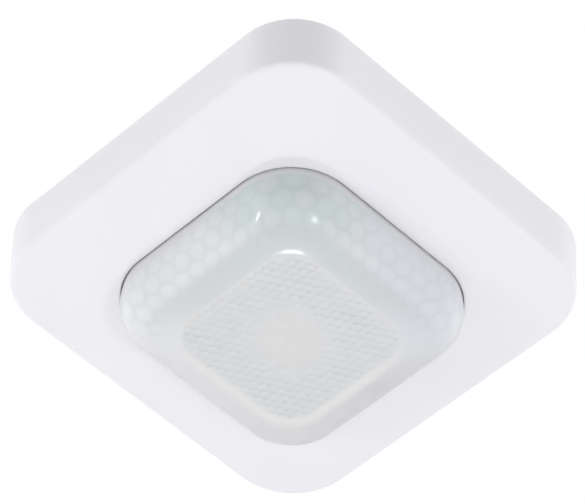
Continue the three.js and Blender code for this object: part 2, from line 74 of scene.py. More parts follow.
AZIMUTH = math.radians(46.6)
ELEVATION = math.radians(-50.0)
ROLL = math.radians(2.38)
DISTANCE = 1.0
FOCAL_LENGTH = 224.1
AIM_ACROSS = -0.00052            # what the middle of the view is aimed at, from the origin
AIM_UP = -0.00195
FLOOR_LEVEL = -1.45
FLOOR_SIZE = 60.0
WORLD_SIDES = (0.71, 1.70)       # brightness of the surroundings, and far to the left and right
WORLD_FRONT = (1.0, 0.08)        # share of that kept: elsewhere, and in front of the near corner
LAMP_AIM = Vector((0, 0, -0.02))


def view_axes():
    """Right, up and backward directions of the camera."""
    back = Vector((
        math.sin(AZIMUTH) * math.cos(ELEVATION),
        -math.cos(AZIMUTH) * math.cos(ELEVATION),
        math.sin(ELEVATION),
    ))
    level = Vector((0, 0, 1)).cross(back).normalized()
    upright = back.cross(level)
    right = level * math.cos(ROLL) + upright * math.sin(ROLL)
    return right, back.cross(right), back


def make_camera():
    right, up, back = view_axes()
    data = bpy.data.cameras.new("camera")
    data.lens = FOCAL_LENGTH
    data.clip_end = 20
    camera = bpy.data.objects.new("camera", data)
    place = right * AIM_ACROSS + up * AIM_UP + back * DISTANCE
    turn = Matrix((right, up, back)).transposed().to_4x4()
    camera.matrix_world = Matrix.Translation(place) @ turn
    bpy.context.scene.collection.objects.link(camera)
    bpy.context.scene.camera = camera


def make_world():
    """White to the camera. As a light it is brighter to the left and right of the near corner, and
    dimmer in front of it, where the photographer stands."""
    world = bpy.data.worlds.new("studio")
    bpy.context.scene.world = world
    world.use_nodes = True
    nodes, links = world.node_tree.nodes, world.node_tree.links
    nodes.clear()
    place = nodes.new("ShaderNodeTexCoord").outputs["Generated"]

    def facing(direction):
        """How far a direction of light faces the given one, from -1 to 1."""
        node = nodes.new("ShaderNodeVectorMath")
        node.operation = "DOT_PRODUCT"
        node.inputs[1].default_value = Vector(direction).normalized()
        links.new(place, node.inputs[0])
        return node.outputs["Value"]

    def graded(source, from_low, from_high, to_low, to_high):
        node = nodes.new("ShaderNodeMapRange")
        node.interpolation_type = "SMOOTHSTEP"
        for socket, value in zip(node.inputs[1:5], (from_low, from_high, to_low, to_high)):
            socket.default_value = value
        links.new(source, node.inputs[0])
        return node.outputs[0]

    def math_node(kind, first, second=0.0):
        node = nodes.new("ShaderNodeMath")
        node.operation = kind
        for socket, value in zip(node.inputs, (first, second)):
            if isinstance(value, bpy.types.NodeSocket):
                links.new(value, socket)
            else:
                socket.default_value = value
        return node.outputs[0]

    sideways = math_node("ABSOLUTE", facing((1, 1, 0)))
    sides = graded(sideways, 0.35, 0.95, *WORLD_SIDES)
    front = graded(facing((1, -1, -0.7)), 0.1, 0.95, *WORLD_FRONT)
    strength = math_node("MULTIPLY", sides, front)
    seen = nodes.new("ShaderNodeBackground")
    seen.inputs["Color"].default_value = (1, 1, 1, 1)
    lit = nodes.new("ShaderNodeBackground")
    lit.inputs["Color"].default_value = (0.985, 0.985, 1.0, 1)
    links.new(strength, lit.inputs["Strength"])
    path = nodes.new("ShaderNodeLightPath")
    mix = nodes.new("ShaderNodeMixShader")
    out = nodes.new("ShaderNodeOutputWorld")
    links.new(path.outputs["Is Camera Ray"], mix.inputs[0])
    links.new(lit.outputs[0], mix.inputs[1])
    links.new(seen.outputs[0], mix.inputs[2])
    links.new(mix.outputs[0], out.inputs[0])


def softbox(name, place, size, power):
    data = bpy.data.lights.new(name, "AREA")
    data.shape = "DISK"
    data.size = size
    data.energy = power
    lamp = bpy.data.objects.new(name, data)
    lamp.location = place
    lamp.rotation_euler = (LAMP_AIM - Vector(place)).to_track_quat("-Z", "Y").to_euler()
    lamp.visible_camera = False
    bpy.context.scene.collection.objects.link(lamp)


def make_floor():
    paint = bpy.data.materials.new("floor_paint")
    paint.use_nodes = True
    shader = paint.node_tree.nodes["Principled BSDF"]
    shader.inputs["Base Color"].default_value = (0.82, 0.82, 0.83, 1)
    shader.inputs["Roughness"].default_value = 0.7
    half = FLOOR_SIZE / 2
    corners = [(-half, -half), (half, -half), (half, half), (-half, half)]
    mesh = bpy.data.meshes.new("floor")
    mesh.from_pydata([(x, y, FLOOR_LEVEL) for x, y in corners], [], [(0, 1, 2, 3)])
    floor = bpy.data.objects.new("floor", mesh)
    mesh.materials.append(paint)
    bpy.context.scene.collection.objects.link(floor)


make_camera()
make_world()
softbox("below", (-0.37, 0.35, -1.00), 0.05, 1.2)
softbox("left", (-0.32, -0.80, -0.56), 0.18, 1.2)
softbox("right", (0.60, 0.08, -0.80), 0.18, 1.1)
softbox("above", (-0.60, 0.50, 1.30), 0.5, 7.0)
make_floor()
bpy.context.scene.view_settings.view_transform = "Standard"

# ---- Node helpers ----


PLASTIC_GRAIN = 0.00035


class Surface:
    """A material under construction, with short calls for the nodes that it uses."""

    def __init__(self, name, roughness=0.5, metallic=0.0, ior=1.5):
        MATERIALS[name] = bpy.data.materials.new(name)
        MATERIALS[name].use_nodes = True
        self.tree = MATERIALS[name].node_tree
        self.shader = self.tree.nodes["Principled BSDF"]
        self.set("Roughness", roughness)
        self.set("Metallic", metallic)
        self.set("IOR", ior)
        self.place = self.add("ShaderNodeTexCoord").outputs["Object"]

    def add(self, kind, **values):
        node = self.tree.nodes.new(kind)
        for name, value in values.items():
            setattr(node, name, value)
        return node

    def set(self, socket, value):
        self.shader.inputs[socket].default_value = value

    def link(self, source, target):
        self.tree.links.new(source, target)

    def noise(self, size, detail=3.0, rough=0.5, stretch=(1, 1, 1)):
        """Noise with features of about size metres, from 0 to 1."""
        mapping = self.add("ShaderNodeMapping")
        mapping.inputs["Scale"].default_value = stretch
        self.link(self.place, mapping.inputs["Vector"])
        node = self.add("ShaderNodeTexNoise")
        node.inputs["Scale"].default_value = 1 / size
        node.inputs["Detail"].default_value = detail
        node.inputs["Roughness"].default_value = rough
        self.link(mapping.outputs[0], node.inputs["Vector"])
        return node.outputs["Fac"]

    def attribute(self, name):
        return self.add("ShaderNodeAttribute", attribute_name=name).outputs["Fac"]

    def ramp(self, source, stops):
        """A colour or grey ramp through (position, colour) stops."""
        node = self.add("ShaderNodeValToRGB")
        ramp = node.color_ramp
        while len(ramp.elements) < len(stops):
            ramp.elements.new(0.5)
        for element, (position, color) in zip(ramp.elements, stops):
            element.position = position
            element.color = (*color, 1) if isinstance(color, tuple) else (color,) * 3 + (1,)
        self.link(source, node.inputs[0])
        return node.outputs[0]

    def mix(self, amount, first, second, kind="MIX"):
        node = self.add("ShaderNodeMix", data_type="RGBA", blend_type=kind)
        for index, value in ((0, amount), (6, first), (7, second)):
            socket = node.inputs[index]
            if isinstance(value, bpy.types.NodeSocket):
                self.link(value, socket)
            else:
                socket.default_value = (*value, 1) if isinstance(value, tuple) else value
        return node.outputs[2]

    def color(self, source):
        self.link(source, self.shader.inputs["Base Color"])

    def roughness(self, source):
        self.link(source, self.shader.inputs["Roughness"])

    def bump(self, height, depth):
        """Adds relief of depth metres."""
        node = self.add("ShaderNodeBump")
        node.inputs["Distance"].default_value = depth
        self.link(height, node.inputs["Height"])
        self.link(node.outputs[0], self.shader.inputs["Normal"])


def moulded_plastic(name, dark, light, roughness, depth=0.000012, sss=0.0):
    """Injection-moulded plastic: faint flow shading, fine spark-eroded grain and uneven gloss."""
    surface = Surface(name, roughness)
    cloud = surface.noise(0.03, 2.0)
    surface.color(surface.ramp(cloud, [(0.3, dark), (0.7, light)]))
    fine = surface.noise(PLASTIC_GRAIN, 2.0, 0.6)
    wear = surface.noise(0.012, 4.0)
    gloss = surface.mix(0.5, fine, wear)
    surface.roughness(surface.ramp(gloss, [(0.3, roughness - 0.06), (0.7, roughness + 0.08)]))
    surface.bump(fine, depth)
    if sss:
        surface.set("Subsurface Weight", sss)
        surface.set("Subsurface Radius", (0.002, 0.002, 0.0022))
        surface.set("Subsurface Scale", 1.0)


# ---- Shape helpers ----


def square_outline(half, radius, corner_steps, side_steps):
    """Points round a square with rounded corners, counter-clockwise, as an array of x, y."""
    reach = half - radius
    centre = reach * math.sqrt(2)
    points = []
    for corner in range(4):
        turn = corner * math.pi / 2
        for step in range(corner_steps):
            angle = turn + step / corner_steps * math.pi / 2
            points.append((
                centre * math.cos(turn + math.pi / 4) + radius * math.cos(angle),
                centre * math.sin(turn + math.pi / 4) + radius * math.sin(angle),
            ))
        for step in range(side_steps):
            along = reach - 2 * reach * step / side_steps
            c, s = math.cos(turn + math.pi / 2), math.sin(turn + math.pi / 2)
            points.append((half * c + along * s, half * s - along * c))
    return np.array(points)


def soften(path, reaches, steps=4):
    """Rounds each corner of a closed path by a curve that starts and ends reach away from it."""
    path = [np.array(point, float) for point in path]
    soft = []
    for i, (point, reach) in enumerate(zip(path, reaches)):
        if reach == 0:
            soft.append(point)
            continue
        before = path[i - 1] - point
        after = path[(i + 1) % len(path)] - point
        start = point + before / np.linalg.norm(before) * reach
        end = point + after / np.linalg.norm(after) * reach
        for t in np.linspace(0, 1, steps + 1):
            soft.append((1 - t) ** 2 * start + 2 * t * (1 - t) * point + t * t * end)
    return soft


def linked(name, mesh):
    piece = bpy.data.objects.new(name, mesh)
    bpy.context.scene.collection.objects.link(piece)
    return piece


def mesh_object(points, faces, sharp=35):
    """A smooth-shaded closed body from points in millimetres, with its faces turned outwards."""
    mesh = bpy.data.meshes.new("shape")
    mesh.from_pydata(np.asarray(points) * MM, [], faces)
    work = bmesh.new()
    work.from_mesh(mesh)
    bmesh.ops.recalc_face_normals(work, faces=work.faces)
    work.to_mesh(mesh)
    work.free()
    mesh.polygons.foreach_set("use_smooth", [True] * len(mesh.polygons))
    mesh.set_sharp_from_angle(angle=math.radians(sharp))
    mesh.update()
    return linked("shape", mesh)


def loft_faces(rings, per_ring, closed):
    """Faces of a tube through rings of points, with flat caps unless it closes on itself."""
    faces = []
    for ring in range(rings if closed else rings - 1):
        here, following = ring * per_ring, (ring + 1) % rings * per_ring
        for i in range(per_ring):
            j = (i + 1) % per_ring
            faces.append((here + i, here + j, following + j, following + i))
    if not closed:
        faces.append(tuple(reversed(range(per_ring))))
        faces.append(tuple(range((rings - 1) * per_ring, rings * per_ring)))
    return faces


def at_level(points, level):
    return np.column_stack([points, np.full(len(points), level)])


def stacked(rings, closed=False):
    """A body through rings of as many points each."""
    return mesh_object(np.vstack(rings), loft_faces(len(rings), len(rings[0]), closed))


def loft(profile, closed=False, corner_steps=24, side_steps=8):
    """A body through rounded squares, each half side, corner radius and level."""
    return stacked([at_level(square_outline(half, radius, corner_steps, side_steps), level)
                    for half, radius, level in profile], closed)


def finished(piece, name, material):
    piece.name = name
    piece.data.name = name
    piece.data.materials.append(MATERIALS[material])
    return piece


def stand_for(piece, node, name=None):
    """The piece is shown in place of a CAD node. It rides on its body and is of its slot's material."""
    slot = SLOTS[node]
    finished(piece, name or node + "_body", slot)
    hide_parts(node)
    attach(piece, frame["nodes"][node]["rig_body"])


# ---- Cover ----

COVER_PATH = [
    # half side, corner radius, level, rounding
    (38.34, 19.14, -24.2, 0.7),
    (60.0, 19.5, -18.95, 1.5),
    (60.0, 18.5, -0.3, 0.35),
    (58.0, 16.5, -0.3, 0.3),
    (58.0, 17.5, -17.1, 0.8),
    (40.1, 20.9, -21.6, 0.4),
    (40.1, 20.9, -20.0, 0.25),
    (38.34, 19.14, -20.0, 0.25),
]


def make_cover():
    moulded_plastic("cover_plastic", (0.84, 0.84, 0.865), (0.855, 0.855, 0.88), 0.42, sss=0.15)
    path = soften([corner[:3] for corner in COVER_PATH], [corner[3] for corner in COVER_PATH], 6)
    cover = loft(path, closed=True, corner_steps=40, side_steps=12)
    stand_for(cover, "cover_frame", "cover_shell")


make_cover()

# ---- Lens ----

LENS = {
    "skirt_top": -16.3,
    "shoulder": -23.6,
    "front": -39.8,
    "face_half": 23.8,
    "skirt_half": 38.1,
    "skirt_radius": 18.9,
    "middle_radius": 12.9,
    "face_radius": 10.5,
    "across_power": 1.79,        # powers of the superellipse that is the bowl's section
    "down_power": 2.45,
    "wall": 1.2,
}
WALL_CELL = 5.4                  # pitch of the lenslets on the bowl
FACE_CELL = 2.7
WALL_RELIEF = 0.05               # how far the edges of the lenslets lie below their middles
FACE_RELIEF = (0.004, 0.035)     # at the middle of the face, and towards its edge
INNER_RELIEF = 0.25
LENS_CORNER_STEPS = 56
LENS_SIDE_STEPS = 72


def bowl_point(share):
    """Half side, corner radius and level of the bowl: share is 0 at the front face, 1 at the skirt."""
    angle = share * math.pi / 2
    across = math.sin(angle) ** (2 / LENS["across_power"])
    down = max(math.cos(angle), 0) ** (2 / LENS["down_power"])
    half = LENS["face_half"] + (LENS["skirt_half"] - LENS["face_half"]) * across
    level = LENS["shoulder"] + (LENS["front"] - LENS["shoulder"]) * down
    radius = ((1 - share) ** 2 * LENS["face_radius"] + 2 * share * (1 - share) * LENS["middle_radius"]
              + share ** 2 * LENS["skirt_radius"])
    return half, radius, level


def hexagons(u, v, pitch):
    """For each point: its offset from its cell's middle in u and v and its distance from there, as
    shares of the distance to a corner, how near it is to the border, and the cell's indices."""
    row_step = pitch * math.sqrt(3) / 2
    best = np.full(u.shape, np.inf)
    cell_u, cell_v = np.zeros(u.shape), np.zeros(u.shape)
    across, along_v = np.zeros(u.shape), np.zeros(u.shape)
    base = np.round(v / row_step)
    for offset in (-1, 0, 1):
        row = base + offset
        shift = 0.5 * np.mod(row, 2)
        column = np.round(u / pitch - shift)
        offset_u, offset_v = u - (column + shift) * pitch, v - row * row_step
        distance = np.hypot(offset_u, offset_v)
        closer = distance < best
        across = np.where(closer, offset_u, across)
        along_v = np.where(closer, offset_v, along_v)
        best = np.where(closer, distance, best)
        cell_u = np.where(closer, column, cell_u)
        cell_v = np.where(closer, row, cell_v)
    border = np.zeros(u.shape)
    for angle in (0, math.pi / 3, 2 * math.pi / 3):
        offset = across * math.cos(angle) + along_v * math.sin(angle)
        border = np.maximum(border, np.abs(offset) * 2 / pitch)
    reach = pitch / math.sqrt(3)
    return across / reach, along_v / reach, best / reach, border, cell_u, cell_v


def smooth_step(low, high, value):
    t = np.clip((value - low) / (high - low), 0, 1)
    return t * t * (3 - 2 * t)


def band(value, start, full, fading, end):
    """1 between full and fading, and 0 before start and after end."""
    return smooth_step(start, full, value) * (1 - smooth_step(fading, end, value))


def lens_profile():
    """Rings from the middle of the front face over the bowl and skirt: half side, radius and level."""
    rings = []
    for half in np.arange(0.4, LENS["face_half"], 0.42):
        rings.append((half, half * LENS["face_radius"] / LENS["face_half"], LENS["front"]))
    for share in np.linspace(0, 1, 54):
        rings.append(bowl_point(share))
    for level in np.linspace(LENS["shoulder"], LENS["skirt_top"], 8)[1:]:
        rings.append((LENS["skirt_half"], LENS["skirt_radius"], level))
    return rings


def lens_grid(rings):
    """Points on the lens's smooth outside, ring by ring, and the directions that face away from it."""
    grid = np.array([
        at_level(square_outline(half, radius, LENS_CORNER_STEPS, LENS_SIDE_STEPS), level)
        for half, radius, level in rings])
    around = np.roll(grid, -1, axis=1) - np.roll(grid, 1, axis=1)
    normal = np.cross(around, np.gradient(grid, axis=0))
    return grid, normal / (np.linalg.norm(normal, axis=2, keepdims=True) + 1e-12)


def lenslets(grid, rings):
    """Values from 0 to 1 for each point of the lens, by name, and the relief of the lenslets outside
    and inside."""
    x, y = grid[:, :, 0], grid[:, :, 1]
    travel = np.concatenate([[0], np.cumsum([
        math.dist((a[0], a[2]), (b[0], b[2])) for a, b in zip(rings, rings[1:])])])
    edge = next(i for i, ring in enumerate(rings) if ring[0] >= LENS["face_half"])
    outline = square_outline(*bowl_point(0.45)[:2], LENS_CORNER_STEPS, LENS_SIDE_STEPS)
    lengths = np.linalg.norm(np.roll(outline, -1, axis=0) - outline, axis=1)
    girth = lengths.sum()
    cells_round = round(girth / WALL_CELL)
    u = np.concatenate([[0], np.cumsum(lengths)[:-1]]) * cells_round * WALL_CELL / girth
    u = np.broadcast_to(u, grid.shape[:2])
    v = np.broadcast_to((travel - travel[edge])[:, None], grid.shape[:2])
    _, _, wall_far, wall_border, wall_u, wall_v = hexagons(u, v, WALL_CELL)
    face_x, face_y, face_far, face_border, face_u, face_v = hexagons(x, y, FACE_CELL)
    rim = travel[-1] - travel[edge] - (LENS["skirt_top"] - LENS["shoulder"])
    reach = np.maximum(np.abs(x), np.abs(y))
    on_bowl = smooth_step(-0.8, 0.8, v)
    forward = (x - y) / 2
    on_wall = band(v, 1.5, 5.0, rim - 3.0, rim - 1.5)
    on_wall = on_wall * (1 - 0.8 * smooth_step(-4, 12, -forward))
    ring = smooth_step(4, 17, np.hypot(x, y)) * (1 - on_bowl)
    wall_tone = np.mod(wall_u * 0.618 + wall_v * 0.437, 1)
    face_tone = np.mod(face_u * 0.618 + face_v * 0.437, 1)
    # slope runs across each face lenslet towards the far side; it places the painted shade and painted
    # highlight on the lenslets
    slope = (face_y - face_x) / math.sqrt(2)
    values = {
        "wall_edge": wall_border * on_wall,
        "face_edge": face_border * (1 - on_bowl),
        "face_shade_side": 0.5 + 0.5 * slope * ring,
        "face_ring": ring * (1 - smooth_step(20, 24, reach)),
        "cell_tone": on_bowl * wall_tone + (1 - on_bowl) * face_tone,
        "on_bowl": on_bowl,
        # painted shade: a band just past the fold on the near side
        "shoulder": band(v, -1.6, 1.2, 5.5, 10.0) * smooth_step(-6, 12, forward),
        # painted highlight: a light line along the fold on the far side
        "fold_glint": band(v, -2.2, 0, 0.6, 3.0) * smooth_step(-2, 10, -forward),
        "rim": smooth_step(rim - 4.0, rim - 1.5, v),
        "side": 0.5 + 0.5 * (x + y) / (LENS["skirt_half"] + 2),
        # painted shade: the near corner of the bowl
        "painted_near_shade": smooth_step(20, 28, forward) * on_bowl,
        # painted shade: the far walls of the bowl
        "far_wall_shade": smooth_step(-4, 12, -forward) * on_bowl,
    }
    flat = (1 - smooth_step(21.0, 23.4, reach)) * (1 - on_bowl)
    shallow, deep = FACE_RELIEF
    face_relief = (shallow + (deep - shallow) * ring) * flat * face_far ** 2
    outside = WALL_RELIEF * on_wall * wall_far ** 2 + face_relief
    inside = INNER_RELIEF * (on_wall * (1 - wall_far ** 2) + flat * (1 - face_far ** 2))
    return values, outside, inside


def make_lens():
    """A thin bowl whose lenslets are real relief, slight on the outside and deeper on the inside."""
    rings = lens_profile()
    grid, normal = lens_grid(rings)
    values, outside, inside = lenslets(grid, rings)
    outer = grid - normal * outside[:, :, None]
    inner = grid - normal * (LENS["wall"] + inside)[:, :, None]
    inner[-1, :, 2] = LENS["skirt_top"]
    outer[-1, :, 2] = LENS["skirt_top"]
    points = np.concatenate([outer, inner[::-1]])
    faces = loft_faces(len(points), points.shape[1], closed=False)
    lens = mesh_object(points.reshape(-1, 3), faces, sharp=60)
    for name, value in values.items():
        attribute = lens.data.attributes.new(name, "FLOAT", "POINT")
        both = np.concatenate([value, value[::-1]])
        attribute.data.foreach_set("value", both.ravel().astype(np.float32))
    stand_for(lens, "lens", "lens_bowl")


def lens_plastic():
    """Milky polyethylene that lets some light through, glossy outside, with lenslets that darken
    towards their edges. Light and shade are painted on: the tints by side and on the far walls, the darker
    near corner and shoulder band and the light glint along the far fold are painted light and shade that
    stand in for reflections and for what shows through from behind the lens, and each face lenslet is painted
    lighter on one side and darker on the other."""
    surface = Surface("lens_plastic", 0.5, ior=1.5)
    mix = surface.mix

    def graded(name, *stops):
        return surface.ramp(surface.attribute(name), stops)

    centre = graded("cell_tone", (0.0, (0.845, 0.84, 0.83)), (1.0, (0.865, 0.86, 0.85)))
    ring = graded("cell_tone", (0.0, (0.785, 0.812, 0.82)), (1.0, (0.815, 0.84, 0.847)))
    face = mix(surface.attribute("face_ring"), centre, ring)
    patchy = surface.ramp(surface.noise(0.007, 2.0), [(0.38, 0.25), (0.62, 1.0)])
    # painted shade: each face lenslet darker on its far side, broken up by noise; the next lines paint a
    # highlight on its near side
    painted_lenslet_shade = mix(1.0, graded("face_shade_side", (0.55, 0.0), (0.92, 0.9)), patchy, "MULTIPLY")
    face = mix(painted_lenslet_shade, face, (0.66, 0.70, 0.72))
    face = mix(graded("face_shade_side", (0.1, 0.6), (0.42, 0.0)), face, (0.86, 0.87, 0.87))
    face = mix(graded("face_edge", (0.8, 0.0), (1.0, 0.3)), face, (0.74, 0.75, 0.755))
    # painted light: the bowl lighter towards -X, -Y and bluer towards +X, +Y
    side = graded("side", (0.0, (0.94, 0.95, 0.95)), (0.5, (0.865, 0.90, 0.90)), (1.0, (0.88, 0.895, 0.935)))
    # painted shade: the near corner of the bowl darker and greener
    bowl = mix(surface.attribute("painted_near_shade"), side, (0.745, 0.84, 0.83))
    # painted shade: the far walls darker towards +X, +Y
    far_painted_shade = graded("side", (0.1, (0.88, 0.88, 0.885)), (0.9, (0.76, 0.76, 0.765)))
    bowl = mix(surface.attribute("far_wall_shade"), bowl, far_painted_shade)
    bowl = mix(graded("cell_tone", (0.0, 0.0), (1.0, 0.25)), bowl, (0.90, 0.91, 0.92))
    border = graded("wall_edge", (0.58, 0.0), (1.0, 0.32))
    bowl = mix(border, bowl, (0.70, 0.75, 0.76))
    # painted shade: darker lenslet borders at the near corner
    near_border_shade = mix(1.0, border, surface.attribute("painted_near_shade"), "MULTIPLY")
    bowl = mix(near_border_shade, bowl, (0.66, 0.74, 0.73))
    # painted shade: a darker band just past the fold on the near side
    bowl = mix(graded("shoulder", (0.0, 0.0), (1.0, 0.75)), bowl, (0.72, 0.765, 0.77))
    bowl = mix(surface.attribute("rim"), bowl, (0.895, 0.90, 0.905))
    whole = mix(surface.attribute("on_bowl"), face, bowl)
    # painted highlight: a light line along the fold on the far side
    surface.color(mix(graded("fold_glint", (0.0, 0.0), (1.0, 0.8)), whole, (0.93, 0.93, 0.92)))
    surface.set("Transmission Weight", 0.22)
    surface.set("Subsurface Weight", 0.2)
    surface.set("Subsurface Radius", (0.002, 0.002, 0.002))
    surface.set("Subsurface Scale", 1.0)
    surface.set("Coat Weight", 0.6)
    surface.set("Coat Roughness", 0.13)
    surface.bump(surface.noise(0.004, 2.0), 0.00002)


lens_plastic()
make_lens()

# ---- More shape helpers ----
# A shape has no name or material until it stands for a CAD node or is made an extra.


def measure(node):
    """Lowest and highest corners of a CAD node, in millimetres."""
    low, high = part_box(node)
    return low / MM, high / MM


def middle(node):
    """Middle of a CAD node in x and y, in millimetres."""
    low, high = measure(node)
    return (low.x + high.x) / 2, (low.y + high.y) / 2


def circle(radius, steps=40):
    """An outline as a function of how far it is drawn in."""
    angles = np.arange(steps) * 2 * math.pi / steps
    return lambda inset=0.0: np.column_stack([np.cos(angles), np.sin(angles)]) * (radius - inset)


def rectangle(size_x, size_y, radius=0.4, steps=4):
    def outline(inset=0.0):
        bend = max(radius - inset, 0.02)
        points = []
        for corner, (sign_x, sign_y) in enumerate(((1, 1), (-1, 1), (-1, -1), (1, -1))):
            centre_x = sign_x * (size_x / 2 - inset - bend)
            centre_y = sign_y * (size_y / 2 - inset - bend)
            for step in range(steps + 1):
                angle = (corner + step / steps) * math.pi / 2
                points.append((centre_x + bend * math.cos(angle), centre_y + bend * math.sin(angle)))
        return np.array(points)
    return outline


def prism(outline, low, high, edge=0.2, place=(0, 0)):
    """A body between two levels with rounded edges."""
    arc = [(edge * (1 - math.sin(t)), edge * (1 - math.cos(t))) for t in np.linspace(0, math.pi / 2, 4)]
    steps = [(inset, low + rise) for inset, rise in arc]
    steps += [(inset, high - rise) for inset, rise in reversed(arc)]
    return stacked([at_level(outline(inset) + np.array(place), level) for inset, level in steps])


def block(size, levels, edge=0.2, place=(0, 0), radius=0.4):
    bend = min(radius, 0.45 * min(size))
    return prism(rectangle(*size, bend), *levels, min(edge, 0.9 * bend), place)


def block_like(node, edge=0.2, radius=0.4):
    """A softened block that fills a CAD node's box."""
    low, high = measure(node)
    size = (high.x - low.x, high.y - low.y)
    return block(size, (low.z, high.z), edge, middle(node), radius)


def turned(profile, place=(0, 0), steps=48, reach=0.0):
    """A turned body from radius and level pairs; reach rounds the corners between its two ends."""
    path = profile if reach == 0 else soften(profile, [0] + [reach] * (len(profile) - 2) + [0], 3)
    return stacked([
        at_level(circle(max(radius, 0.01), steps)() + np.array(place), level) for radius, level in path])


def pin(radius, levels, place=(0, 0), steps=48):
    low, high = levels
    return turned([(0, low), (radius, low), (radius, high), (0, high)], place, steps)


def moved(piece, *steps):
    """Applies matrices to the mesh, the first one first."""
    for step in steps:
        piece.data.transform(step)
    return piece


def shift(x, y, z):
    return Matrix.Translation(Vector((x, y, z)) * MM)


def spin(angle):
    return Matrix.Rotation(angle, 4, "Z")


def turn_z(quarters):
    return spin(quarters * math.pi / 2)


def merged(pieces):
    """One object from several, which are removed."""
    work = bmesh.new()
    for piece in pieces:
        work.from_mesh(piece.data)
    mesh = bpy.data.meshes.new("merged")
    work.to_mesh(mesh)
    work.free()
    mesh.set_sharp_from_angle(angle=math.radians(35))
    for piece in pieces:
        bpy.data.objects.remove(piece)
    return linked("merged", mesh)


def combined(piece, kind, tools):
    """The piece joined with or cut by tools that don't touch each other."""
    tool = merged(tools)
    step = piece.modifiers.new("step", "BOOLEAN")
    step.operation = kind
    step.solver = "EXACT"
    step.object = tool
    bpy.context.view_layer.update()
    graph = bpy.context.evaluated_depsgraph_get()
    mesh = bpy.data.meshes.new_from_object(piece.evaluated_get(graph))
    piece.modifiers.clear()
    piece.data = mesh
    bpy.data.objects.remove(tool)
    mesh.set_sharp_from_angle(angle=math.radians(35))
    return piece


def cut(piece, *tools):
    return combined(piece, "DIFFERENCE", tools)


def join(piece, *tools):
    return combined(piece, "UNION", tools)


def along(path, width, thickness):
    """A flat strip bent along points in the XZ plane, width across Y."""
    path = np.array(path, float)
    heading = np.gradient(path, axis=0)
    heading /= np.linalg.norm(heading, axis=1, keepdims=True)
    side = np.column_stack([-heading[:, 1], heading[:, 0]]) * thickness / 2
    half = width / 2
    rings = []
    for point, offset in zip(path, side):
        a, b = point + offset, point - offset
        rings += [(a[0], -half, a[1]), (a[0], half, a[1]), (b[0], half, b[1]), (b[0], -half, b[1])]
    return mesh_object(rings, loft_faces(len(path), 4, closed=False))


def extra(pieces, name, body, slot, material=None):
    """Details with no CAD node of their own, as one piece; the material is the slot's unless named."""
    piece = finished(merged(pieces), name, material or slot)
    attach(piece, body)


# ---- Materials ----


def metal(name, dark, light, roughness, grain, stretch=(1, 1, 1)):
    """Plated metal with fine drawn marks, clouded tone and uneven gloss."""
    surface = Surface(name, roughness, metallic=1.0)
    surface.color(surface.ramp(surface.noise(0.003, 3.0), [(0.3, dark), (0.7, light)]))
    fine = surface.noise(grain, 2.0, 0.6, stretch)
    surface.roughness(surface.ramp(fine, [(0.3, roughness - 0.08), (0.7, roughness + 0.12)]))
    surface.bump(fine, 0.000006)


def solder_mask(name, dark, light):
    """Green lacquer over woven glass: the weave shows faintly, and the lacquer is glossy."""
    surface = Surface(name, 0.3)
    weave = surface.add("ShaderNodeTexBrick", offset=0.5)
    weave.inputs["Scale"].default_value = 1500
    weave.inputs["Mortar Size"].default_value = 0.03
    for socket, grey in (("Color1", 0.4), ("Color2", 0.6), ("Mortar", 0.2)):
        weave.inputs[socket].default_value = (grey, grey, grey, 1)
    surface.link(surface.place, weave.inputs["Vector"])
    cloud = surface.noise(0.012, 2.0)
    tone = surface.mix(0.35, cloud, weave.outputs["Color"])
    surface.color(surface.ramp(tone, [(0.3, dark), (0.7, light)]))
    surface.roughness(surface.ramp(surface.noise(0.004, 3.0), [(0.3, 0.22), (0.7, 0.38)]))
    surface.bump(weave.outputs["Fac"], 0.000008)
    surface.set("Coat Weight", 0.5)
    surface.set("Coat Roughness", 0.1)


def clear_plastic(name, color, transmission, roughness=0.08):
    """Clear or dark glossy resin with slight flow marks."""
    surface = Surface(name, roughness, ior=1.52)
    tone = surface.noise(0.003, 2.0)
    surface.color(surface.ramp(tone, [(0.2, tuple(0.9 * c for c in color)), (0.8, color)]))
    surface.roughness(surface.ramp(surface.noise(0.001, 2.0), [(0.3, roughness), (0.7, roughness + 0.08)]))
    surface.bump(surface.noise(0.0015, 2.0), 0.00001)
    surface.set("Transmission Weight", transmission)


def wound_tape(name):
    """Yellow tape in overlapping turns: fine steps along its height, and a glossy film."""
    surface = Surface(name, 0.3)
    wave = surface.add("ShaderNodeTexWave", wave_type="BANDS", bands_direction="Z", wave_profile="SAW")
    for socket, value in (("Scale", 160), ("Distortion", 1.0), ("Detail", 2.0)):
        wave.inputs[socket].default_value = value
    surface.link(surface.place, wave.inputs["Vector"])
    tone = surface.mix(0.4, surface.noise(0.002, 3.0), wave.outputs["Color"])
    surface.color(surface.ramp(tone, [(0.2, (0.62, 0.40, 0.03)), (0.8, (0.82, 0.60, 0.08))]))
    surface.roughness(surface.ramp(tone, [(0.2, 0.24), (0.8, 0.4)]))
    surface.bump(wave.outputs["Fac"], 0.00004)
    surface.set("Coat Weight", 0.4)


